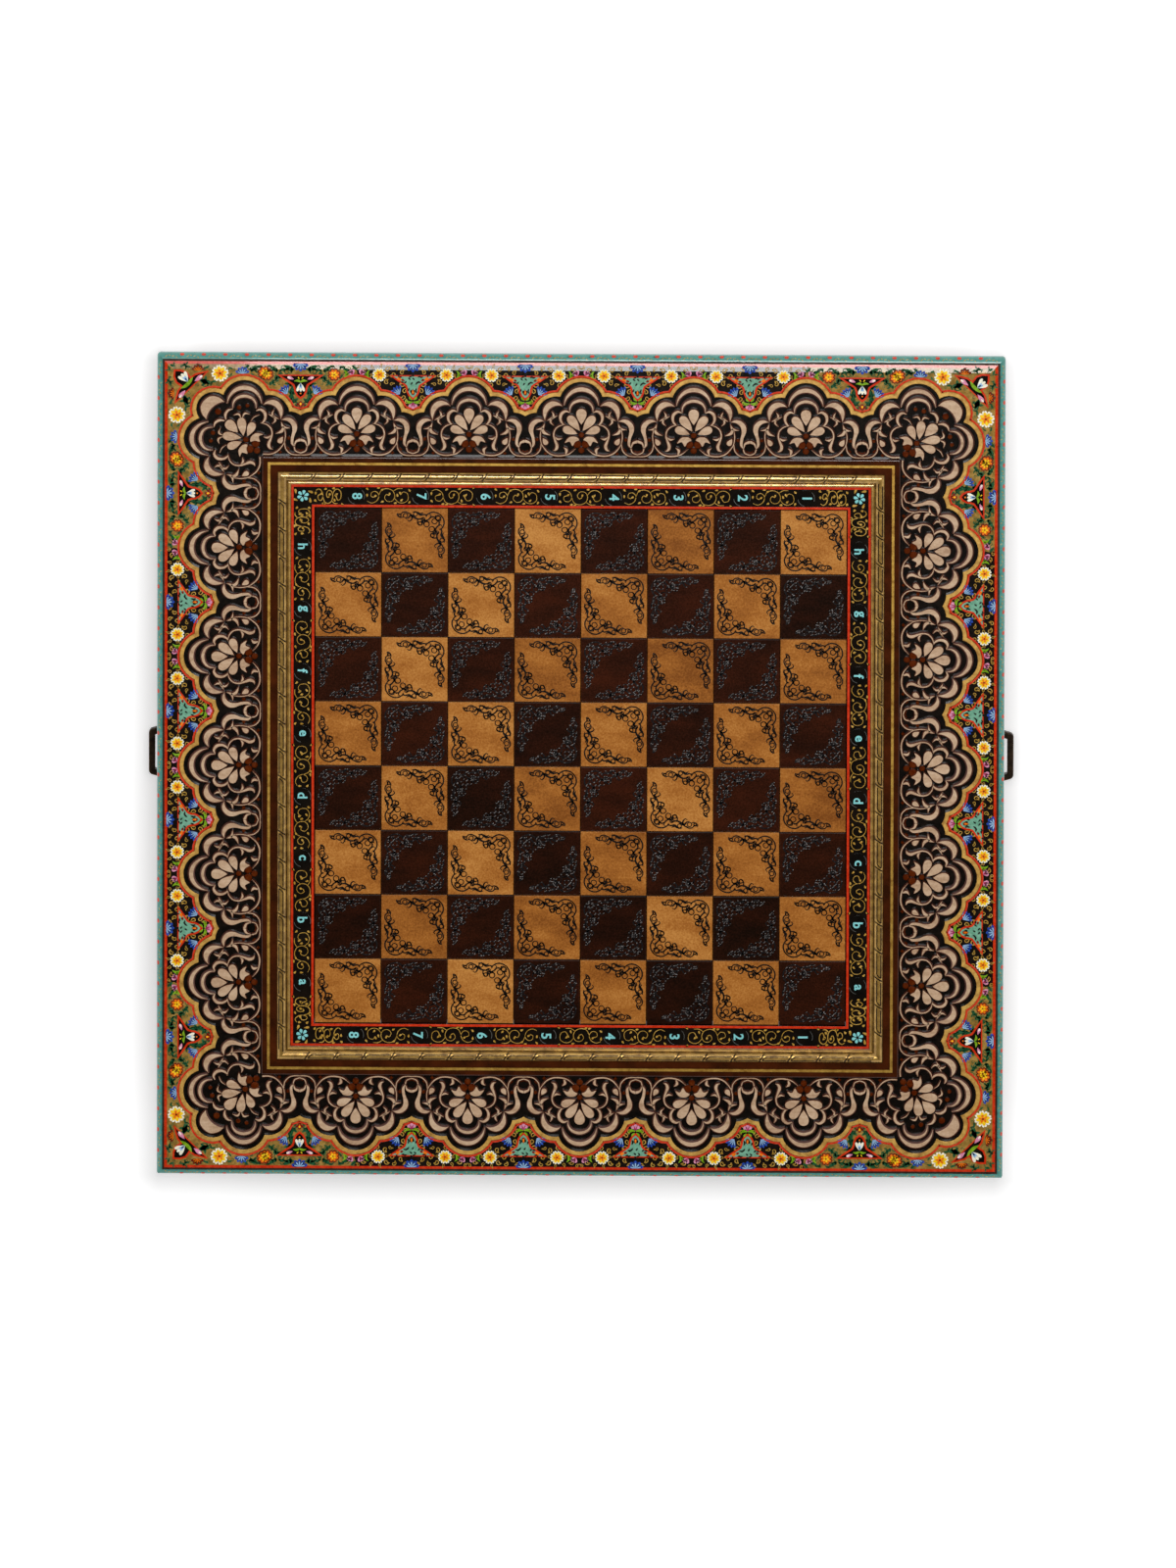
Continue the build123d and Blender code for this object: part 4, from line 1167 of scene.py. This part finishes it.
def scored_lines():
    """Slanting lines on the half round, ticks at its inner foot and a line in the channel."""
    lines = Shapes()
    tick_r, groove_r = ROUND_IN + 0.3, ROUND_IN - 0.12
    for turn in range(4):
        for k in range(BLOCKS):
            start = -ROUND_MIDDLE + k * BLOCK
            for line in SCORED:
                placed = [(start + s, ROUND_MIDDLE + u, w) for s, u, w in line]
                if all(abs(s) <= r - 0.6 for s, r, _ in placed):
                    lines.drape(quarter(stroke(placed, 6), turn), round_height)
            if k:
                tick = stroke([(start - 0.5, tick_r, 0.9), (start + 0.5, tick_r, 0.9)], 2)
                lines.drape(quarter(tick, turn), round_height)
        groove = stroke([(-ROUND_IN + 0.3, groove_r, 0.3), (ROUND_IN - 0.3, groove_r, 0.3)], 1)
        lines.prism(quarter(groove, turn), ROUND_FOOT - 0.32, ROUND_FOOT - 0.2)
    lines.make("moulding_scored_lines", SCORE, "gilt")


# Green quarter round at the edge

EDGE_R = 3.4
EDGE_SUNK = 0.15
BEAD_PITCH = 12.72
BEAD_GAPS = 39
# Angle, two radii and tilt, after the place along the edge for the flourishes
EDGE_BEAD = (0.62, 1.65, 1.15, 0.0)
FLOURISH = [
    (3.4, 1.02, 1.1, 0.32, 0.7), (5.2, 0.86, 0.8, 0.34, -0.6),
    (7.4, 0.98, 1.2, 0.3, 0.3), (9.4, 1.2, 0.8, 0.3, -0.8),
]


def edge_drop(shapes, turn, along, angle, rx, ry, tilt):
    """Low dome on the quarter round, at an angle up from its side and with two radii."""
    if abs(along) > PANEL - 2.5:
        return
    out, up = polar(PANEL - EDGE_R, EDGE_Z - EDGE_R, EDGE_R - EDGE_SUNK, angle)
    normal, side = Vector((0, cos(angle), sin(angle))), Vector((1, 0, 0))
    axes = Matrix((side, normal.cross(side), normal)).transposed().to_4x4()
    place = Matrix.Translation((along, out, up)) @ axes @ Matrix.Rotation(tilt, 4, "Z")
    shapes.dome(Matrix.Rotation(-turn * pi / 2, 4, "Z") @ place, rx, ry, 2 * EDGE_SUNK)


def edge_painting():
    """Red beads with gold flourishes between them."""
    red, gold = Shapes(), Shapes()
    for turn in range(4):
        for k in range(BEAD_GAPS + 1):
            s = (k - BEAD_GAPS / 2) * BEAD_PITCH
            edge_drop(red, turn, s, *EDGE_BEAD)
            for along, *rest in FLOURISH:
                edge_drop(gold, turn, s + along, *rest)
    red.make("edge_red_beads", RED, "green_paint")
    gold.make("edge_gold_flourishes", CURL_GOLD, "green_paint")


# Lettered strips

STRIP_MIDDLE = (STRIP_IN + STRIP_OUT) / 2
LETTER_PITCH = 37.9
GLYPH_SIZE = 8.0
GLYPH_RISE = 0.14
GLYPH_BOLD = 0.17
MEDALLION_R = 5.2
ROWS = ("87654321", "hgfedcba", "87654321", "hgfedcba")
# Small shifts of the characters of each side, as hand work has them
SLIPS = ((0.6, 0.0), (0.0, -0.8), (-0.9, 0.0), (0.0, 0.7))
SCROLL_STEMS = [
    [(-12.4, 3.2, 0.3), (-9.6, 4.2, 0.45), (-6.6, 2.6, 0.5), (-5.6, -0.6, 0.5), (-7.4, -2.8, 0.45),
     (-9.8, -2.2, 0.4), (-10.2, 0, 0.4), (-8.6, 0.8, 0.6)],
    [(-5.8, 0.4, 0.3), (-4.2, -3.4, 0.5), (-0.8, -4.6, 0.5), (2.6, -3.2, 0.5), (3.8, 0, 0.5),
     (2.4, 2.8, 0.45), (-0.4, 3.2, 0.4), (-2.2, 1.2, 0.4), (-1.2, -1.0, 0.5), (0.4, -0.4, 0.7)],
    [(3.6, 1.0, 0.3), (5.8, 3.6, 0.5), (9.0, 4.0, 0.5), (11.6, 2.0, 0.45), (11.2, -1.6, 0.4),
     (8.6, -2.6, 0.4), (7.2, -0.8, 0.6)],
    [(2.8, -3.0, 0.3), (5.4, -4.6, 0.6), (8.4, -4.6, 0.3)],
]
SCROLL_LEAVES = [
    (-8.6, 0.6, 0.6), (-11.6, -3.6, 2.4), (-4.6, 3.8, 0.4), (0.4, -0.2, 1.3), (-2.6, -4.4, 3.6),
    (3.0, 4.4, 0.2), (7.4, -0.8, 2.0), (5.0, -1.6, 5.0), (11.8, 4.6, 1.0), (11.8, -4.4, 5.4),
    (-6.8, -4.8, 0.2), (8.6, 1.6, 3.9), (-12.6, 0.6, 1.5),
]


def glyph(character):
    """Outline mesh of one character, centred on the origin, in millimetres."""
    curve = bpy.data.curves.new("glyph", "FONT")
    curve.body = character
    curve.size = GLYPH_SIZE
    curve.extrude = GLYPH_RISE
    curve.offset = GLYPH_BOLD
    curve.resolution_u = 4
    holder = bpy.data.objects.new("glyph", curve)
    bpy.context.scene.collection.objects.link(holder)
    bpy.context.view_layer.update()
    mesh = bpy.data.meshes.new_from_object(holder.evaluated_get(bpy.context.evaluated_depsgraph_get()))
    welded = bmesh.new()
    welded.from_mesh(mesh)
    bmesh.ops.remove_doubles(welded, verts=welded.verts, dist=0.001)
    welded.to_mesh(mesh)
    welded.free()
    verts = [v.co.copy() for v in mesh.vertices]
    faces = [tuple(p.vertices) for p in mesh.polygons]
    bpy.data.objects.remove(holder)
    bpy.data.curves.remove(curve)
    bpy.data.meshes.remove(mesh)
    cx, cy = ((min(v[i] for v in verts) + max(v[i] for v in verts)) / 2 for i in (0, 1))
    return [(v.x - cx, v.y - cy, v.z) for v in verts], faces


def on_strip(points, turn):
    """From along a strip and outwards from its middle onto the board."""
    return quarter(moved(points, 0, STRIP_MIDDLE), turn)


def medallion(pads, rims, marks, turn, s, character):
    """Round black field with a broken grey rim and a character, which reads from the right side."""
    pads.lay(on_strip(disc(s, 0, MEDALLION_R, 28), turn), FIELD_Z, 0.1)
    x, y = ((s, STRIP_MIDDLE), (STRIP_MIDDLE, -s), (s, -STRIP_MIDDLE), (-STRIP_MIDDLE, -s))[turn]
    for start in (3.3, 5.9):
        sweep = [polar(x, y, MEDALLION_R - 0.3, start + 0.2 * j) + (0.32,) for j in range(7)]
        rims.lay(stroke(sweep, 1), FIELD_Z, 0.14)
    verts, faces = character
    base = len(marks.verts)
    x, y = x + SLIPS[turn][0], y + SLIPS[turn][1]
    marks.verts += [(x + gy, y - gx, FIELD_Z + GLYPH_RISE + gz) for gx, gy, gz in verts]
    marks.faces += [tuple(base + i for i in face) for face in faces]


def scroll(gold, turn, s, sign, squeeze, weight, leaf_size, steps):
    """Arabesque that fills the strip between two letters: a coiling stem with leaves."""
    length, width = leaf_size
    for line in SCROLL_STEMS:
        placed = [(squeeze * x, sign * y, weight * w) for x, y, w in line]
        gold.lay(on_strip(moved(stroke(placed, steps), s), turn), FIELD_Z, 0.1)
    for x, y, a in SCROLL_LEAVES:
        points = ray(s + squeeze * x, sign * y, length, a, width, 10)
        gold.lay(on_strip(points, turn), FIELD_Z, 0.12)


def strip_rosette(gold, marks, turn):
    """Turquoise petals with gold leaves between them, where two strips meet."""
    centre = (-STRIP_MIDDLE, 0.0)
    for k in range(6):
        a = k * pi / 3 + 0.3
        bloom = petal(polar(*centre, 0.7, a), polar(*centre, 3.5, a), 1.9, 12)
        marks.lay(on_strip(bloom, turn), FIELD_Z, 0.16)
        tip = polar(*centre, 6.2, a)
        if abs(tip[1]) < 5.6:
            gold.lay(on_strip(petal(polar(*centre, 4.2, a + 0.5), tip, 1.5, 10), turn), FIELD_Z, 0.1)


def lettered_strips():
    """Medallions with characters, scrolls between them and rosettes where the strips meet."""
    gold, marks, pads, rims = Shapes(), Shapes(), Shapes(), Shapes()
    glyphs = {c: glyph(c) for c in "12345678abcdefgh"}
    for turn, row in enumerate(ROWS):
        for k, character in enumerate(row):
            medallion(pads, rims, marks, turn, (k - 3.5) * LETTER_PITCH, glyphs[character])
        for k in range(1, SQUARES):
            scroll(gold, turn, (k - 4) * LETTER_PITCH, -1 if k % 2 else 1, 1.0, 0.75, (2.0, 1.2), 4)
        for sign in BOTH:
            scroll(gold, turn, sign * (FIELD - 8.0), -sign, 0.62, 1.0, (1.9, 1.4), 3)
        strip_rosette(gold, marks, turn)
    gold.make("strip_scrolls", CURL_GOLD, "black_lacquer")
    pads.make("letter_medallions", COAT_BLACK, "black_lacquer")
    rims.make("medallion_rims", RIM_GREY, "black_lacquer")
    marks.make("letters_and_numbers", TURQUOISE, "black_lacquer")


# Engraved squares. Lines and ringlets lie on one side of a square's diagonal.

ENGRAVED = [
    [(-3.4, 16.2, 0.7), (-5.2, 17.3, 0.7), (-7.4, 17.0, 0.6), (-8.6, 15.6, 0.6), (-10.6, 16.3, 0.5),
     (-10.0, 14.8, 0.6), (-8.2, 13.9, 0.6), (-6.6, 14.4, 0.4)],
    [(-5.6, 13.2, 0.3), (-4.0, 13.6, 0.6), (-2.6, 15.2, 1.2), (-1.0, 14.6, 1.3), (0.8, 13.3, 0.9),
     (3.2, 13.0, 0.8), (4.8, 14.2, 0.5)],
    [(-3.4, 16.6, 0.5), (-1.8, 15.0, 0.8), (-1.9, 12.9, 0.7), (-3.3, 11.6, 0.5), (-4.4, 12.6, 0.3)],
    [(-1.4, 17.2, 0.4), (0.6, 17.5, 0.6), (2.0, 16.4, 0.9), (3.4, 15.4, 0.9), (5.4, 15.9, 0.7),
     (7.2, 15.2, 0.5), (6.4, 14.2, 0.3)],
    [(1.8, 17.4, 0.3), (3.2, 16.2, 0.7), (4.9, 17.0, 0.3)],
    [(6.2, 14.9, 0.4), (7.9, 16.2, 0.7), (10.2, 17.2, 0.7), (12.9, 16.9, 0.7), (15.1, 15.6, 0.6),
     (15.9, 14.6, 0.5)],
    [(1.6, 12.9, 0.5), (1.6, 10.9, 0.7), (2.8, 9.3, 0.6), (4.3, 9.7, 0.5), (4.0, 11.3, 0.6),
     (2.8, 11.3, 0.3)],
    [(4.4, 13.6, 0.6), (5.8, 12.1, 0.9), (7.6, 12.5, 0.7), (9.0, 13.8, 0.8), (9.6, 15.4, 0.5),
     (8.6, 15.9, 0.3)],
    [(9.4, 13.9, 0.4), (10.6, 14.5, 0.8), (12.0, 14.0, 0.7), (12.2, 15.6, 0.4)],
    [(5.4, 9.6, 0.4), (4.9, 11.2, 0.8), (3.6, 12.2, 0.4)],
    [(8.6, 10.6, 0.4), (7.0, 11.9, 0.8), (5.4, 11.4, 0.4)],
]
RINGLETS = [
    (-5.6, 15.1, 1.3), (0.3, 16.0, 1.2), (6.9, 9.9, 1.6), (3.0, 10.3, 1.1), (13.4, 13.9, 1.5),
    (-8.9, 15.2, 0.8), (4.9, 13.0, 1.0),
]
MIDDLE_RINGLET = (11.6, 11.7, 1.6)


def ringlet(x, y, r):
    return [polar(x, y, r, i * 0.785) + (0.5,) for i in range(9)]


def engraved_corner():
    """Lines of the cluster in one corner of a square, even on both sides of the diagonal."""
    half = ENGRAVED + [ringlet(*spot) for spot in RINGLETS]
    return half + [[(y, x, w) for x, y, w in line] for line in half] + [ringlet(*MIDDLE_RINGLET)]


def engrave(lines, glints, cluster, place, glints_from):
    """One cluster. On a dark square small glints lie on its lines, from every other point."""
    dark = glints_from is not None
    for k, line in enumerate(cluster):
        points = moved(moved(line, flip=dark), *place)
        lines.lay(stroke([(x, y, 1.2 * w) for x, y, w in points], 2), FIELD_Z, 0.05)
        if not dark:
            continue
        for x, y, _ in points[(k + glints_from) % 2::2]:
            glints.lay(petal((x - 0.35, y - 0.1), (x + 0.45, y + 0.3), 0.42, 6), FIELD_Z, 0.08)


def engraving():
    """Arabesques cut into two corners of each square."""
    cluster = engraved_corner()
    for part, rows in (("back", range(4)), ("front", range(4, SQUARES))):
        ink, shade, glints = Shapes(), Shapes(), Shapes()
        for column in range(SQUARES):
            for row in rows:
                x = -FIELD + (column + 0.5) * SQUARE
                y = FIELD - (row + 0.5) * SQUARE
                dark = (column + row) % 2 == 0
                for turned in (0, pi):
                    engrave(shade if dark else ink, glints, cluster, (x, y, turned), row if dark else None)
        ink.make(f"engraving_light_squares_{part}", INK, "light_veneer")
        shade.make(f"engraving_dark_squares_{part}", ENGRAVED_BLACK, "dark_veneer")
        glints.make(f"engraving_glints_{part}", GLINT, "dark_veneer")


# Gold lines on the box

BODY = high("right_wall").x
DRAWER_HALF = high("right_drawer_front").y


def frame_line(shapes, turn, s0, s1, z0, z1, width=0.9):
    """Painted rectangle on a wall: two lying lines and two standing ones."""
    runs = (
        (s0, s1, z0, z0 + width),
        (s0, s1, z1 - width, z1),
        (s0, s0 + width, z0, z1),
        (s1 - width, s1, z0, z1),
    )
    inner, outer = BODY - ROOT, BODY + 0.15
    for a, b, foot, top in runs:
        shapes.prism(quarter([(a, inner), (b, inner), (b, outer), (a, outer)], turn), foot, top)


def double_frame(shapes, turn, s0, s1, z0, z1):
    """Broad rectangle with a fine one inside it."""
    frame_line(shapes, turn, s0, s1, z0, z1)
    frame_line(shapes, turn, s0 + 2.5, s1 - 2.5, z0 + 2.5, z1 - 2.5, 0.4)


def case_lines():
    """Gold lines painted on the walls and the drawer fronts."""
    z0, z1 = low("right_wall").z + 3.5, high("right_wall").z - 8.5
    gold = Shapes()
    for turn in (0, 2):
        double_frame(gold, turn, -BODY + 8, BODY - 8, z0, z1)
    for turn in (1, 3):
        for sign in BOTH:
            ends = sorted((sign * (DRAWER_HALF + 6), sign * (BODY - 8)))
            frame_line(gold, turn, *ends, z0, z1)
    gold.make("case_gold_lines", CURL_GOLD, "case_lacquer")
    for turn, hand in ((1, "right"), (3, "left")):
        lines = Shapes()
        front = f"{hand}_drawer_front"
        double_frame(lines, turn, -DRAWER_HALF + 5, DRAWER_HALF - 5, low(front).z + 4, high(front).z - 4)
        lines.make(f"{hand}_drawer_gold_lines", CURL_GOLD, "case_lacquer", f"{hand}_drawer")


# Felt

FELT_CELLS = (40, 56)
PAD_R = 9.0


def felt_surface(shapes, lo, hi, upper):
    """Grid of points over one face of a felt. The upper face has a slight wave."""
    nx, ny = FELT_CELLS
    for i in range(nx + 1):
        for j in range(ny + 1):
            x = lo.x + (hi.x - lo.x) * i / nx
            y = lo.y + (hi.y - lo.y) * j / ny
            wave = 0.06 * sin(0.13 * x + 1.0) * cos(0.09 * y)
            shapes.verts.append((x, y, hi.z - 0.08 + wave if upper else lo.z + 0.02))


def felt_lining(hand):
    """Felt laid on the bottom of a drawer."""
    node = f"{hand}_drawer_felt"
    lo, hi = low(node), high(node)
    nx, ny = FELT_CELLS
    shapes = Shapes()
    felt_surface(shapes, lo, hi, False)
    felt_surface(shapes, lo, hi, True)
    step = ny + 1
    n = (nx + 1) * step
    for i in range(nx):
        for j in range(ny):
            a = i * step + j
            shapes.faces.append((a, a + 1, a + step + 1, a + step))
            shapes.faces.append((n + a, n + a + step, n + a + step + 1, n + a + 1))
    rim = [i * step for i in range(nx)] + [nx * step + j for j in range(ny)]
    rim += [(nx - i) * step + ny for i in range(nx)] + [ny - j for j in range(ny)]
    for a, b in zip(rim, rim[1:] + rim[:1]):
        shapes.faces.append((a, b, n + b, n + a))
    piece = shapes.make(f"{hand}_felt_lining", FELT, "felt", f"{hand}_drawer")
    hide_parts(node)


def foot_pads():
    """Round pads under the box, with soft edges."""
    pads = Shapes()
    hi = high("foot_pads")
    for sx, sy in CORNERS:
        x, y = sx * (hi.x - PAD_R), sy * (hi.y - PAD_R)
        levels = ((PAD_R - 0.5, 0.02), (PAD_R, 0.5), (PAD_R, 1.1), (PAD_R - 0.3, hi.z))
        pads.rings([(disc(x, y, r, 28), z) for r, z in levels])
    piece = pads.make("felt_foot_pads", FELT, "felt")
    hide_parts("foot_pads")


# Materials of the pieces whose shape is kept

def finishes():
    """Materials by node name or by part of one."""
    case = lacquer("case_lacquer", (44, 18, 9), (72, 32, 16))
    return {
        "edge_moulding": paint("sea_green_paint", (74, 138, 128), 14, rough=0.3, coat=0.5),
        "carved_border": border_lacquer("border_lacquer"),
        "frame_strip": lacquer("frame_lacquer", (44, 16, 2), (74, 30, 6)),
        "lettered_strip": lacquer("strip_lacquer", (11, 7, 4), (26, 18, 11)),
        "light_squares": veneer("light_veneer", (118, 66, 20), (158, 97, 37), (194, 134, 66), 0.26, 0.3),
        "dark_squares": veneer("dark_veneer", (19, 6, 1), (38, 13, 3), (58, 22, 6), 0.18, 0.35),
        "top_panel": case,
        "_wall": case,
        "drawer_front": case,
        "bottom_panel": case,
        "center_divider": case,
        "pull_screws": steel("screw_steel"),
        "bottom_screws": steel("base_screw_steel"),
        "pull": patina("bronze"),
        "light_": wood(
            "boxwood", (170, 118, 62), (205, 158, 98), (224, 184, 126), 0.32, 0.4, (2, 9, 9), 45.0),
        "dark_": wood(
            "rosewood", (34, 12, 8), (66, 28, 16), (98, 46, 26), 0.3, 0.45, (2, 9, 9), 45.0),
        "": wood(
            "drawer_wood", (142, 98, 56), (182, 136, 86), (204, 162, 112), 0.55, 0.05, (2, 10, 10), 40.0),
    }


def dress_nodes():
    """The longest key that a node's name holds says its material."""
    materials = finishes()
    for name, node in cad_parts.items():
        key = max((k for k in materials if k in name), key=len)
        node.data.materials.clear()
        node.data.materials.append(materials[key])


# Studio

TILT = radians(14.25)
SIDEWAYS = radians(0.67)
ROLL = radians(0.148)
DISTANCE = 37.3
SENSOR = 24
PX_PER_MM = 1.729
TARGET_PX = (592.33, 782.57)
FRAME_PX = (1200, 1600)
KEY_WATTS = 25
KEY_SPOT = (0.10, 0.62)
KEY_HEIGHT = 2.0
KEY_SIZE = (0.66, 0.64)
SKY_LEVEL = 0.95
FLOOR_HALF = 60
FLOOR_GLOW = 0.42


def camera():
    """Camera over the board, as far off as the photo's, turned to its angle."""
    back = Vector((sin(SIDEWAYS), sin(TILT) * cos(SIDEWAYS), cos(TILT) * cos(SIDEWAYS)))
    side = Vector((0, 1, 0)).cross(back).normalized()
    up = back.cross(side)
    right = cos(ROLL) * side + sin(ROLL) * up
    top = cos(ROLL) * up - sin(ROLL) * side
    shift_x = (FRAME_PX[0] / 2 - TARGET_PX[0]) / PX_PER_MM * MM
    shift_y = (FRAME_PX[1] / 2 - TARGET_PX[1]) / PX_PER_MM * MM
    place = Vector((0, 0, FIELD_Z * MM)) + back * DISTANCE + right * shift_x - top * shift_y
    data = bpy.data.cameras.new("camera")
    data.sensor_fit = "VERTICAL"
    data.sensor_height = SENSOR
    data.lens = SENSOR * DISTANCE * PX_PER_MM / MM / FRAME_PX[1]
    data.clip_start = 0.5
    data.clip_end = 100
    holder = bpy.data.objects.new("camera", data)
    turned = Matrix((right, top, back)).transposed().to_4x4()
    holder.matrix_world = Matrix.Translation(place) @ turned
    bpy.context.scene.collection.objects.link(holder)
    bpy.context.scene.camera = holder


def key_lamp():
    """Soft lamp that shines straight down behind the board."""
    data = bpy.data.lights.new("key", "AREA")
    data.shape = "RECTANGLE"
    data.size, data.size_y = KEY_SIZE
    data.energy = KEY_WATTS
    holder = bpy.data.objects.new("key", data)
    holder.location = (*KEY_SPOT, KEY_HEIGHT)
    holder.rotation_euler = Vector((0, 0, -KEY_HEIGHT)).to_track_quat("-Z", "Y").to_euler()
    bpy.context.scene.collection.objects.link(holder)


def backdrop_glow(made, strength):
    """Lifts the floor's own white in views and reflections, without more light on the object."""
    path = made.node("ShaderNodeLightPath")
    seen = made.math("MAXIMUM", path.outputs["Is Camera Ray"], path.outputs["Is Glossy Ray"])
    seen = made.math("MAXIMUM", seen, path.outputs["Is Transmission Ray"])
    made.feed(made.shader.inputs["Emission Strength"], made.math("MULTIPLY", seen, strength))
    made.shader.inputs["Emission Color"].default_value = (1, 1, 1, 1)


def sky():
    """Even light from the sides, with a dark ceiling over the board."""
    world = bpy.data.worlds.new("world")
    world.use_nodes = True
    tree = world.node_tree
    where = tree.nodes.new("ShaderNodeTexCoord")
    split = tree.nodes.new("ShaderNodeSeparateXYZ")
    level = tree.nodes.new("ShaderNodeValToRGB")
    tree.links.new(where.outputs["Generated"], split.inputs[0])
    tree.links.new(split.outputs["Z"], level.inputs["Fac"])
    tree.links.new(level.outputs["Color"], tree.nodes["Background"].inputs["Color"])
    tree.nodes["Background"].inputs["Strength"].default_value = SKY_LEVEL
    bright, dark = level.color_ramp.elements
    bright.position, bright.color = 0.55, (1, 1, 1, 1)
    dark.position, dark.color = 0.82, (0.03, 0.03, 0.03, 1)
    bpy.context.scene.world = world


def floor():
    """White floor, which keeps the shadow of the box."""
    h = FLOOR_HALF
    mesh = bpy.data.meshes.new("floor")
    mesh.from_pydata([(-h, -h, 0), (h, -h, 0), (h, h, 0), (-h, h, 0)], [], [(0, 1, 2, 3)])
    made = Finish("floor_white", rough=0.9, spec=0.1)
    made.colour(made.ramp(made.noise(3.0, 2.0), (0.3, (240, 240, 240)), (0.7, (247, 247, 247))))
    backdrop_glow(made, FLOOR_GLOW)
    mesh.materials.append(made.material)
    piece = bpy.data.objects.new("floor", mesh)
    bpy.context.scene.collection.objects.link(piece)


dress_nodes()
carving()
floral_band()
lobed_lines()
straight_lines()
ribbon_moulding()
scored_lines()
edge_painting()
lettered_strips()
engraving()
case_lines()
felt_lining("left")
felt_lining("right")
foot_pads()
camera()
floor()
key_lamp()
sky()
bpy.context.scene.view_settings.view_transform = "Standard"
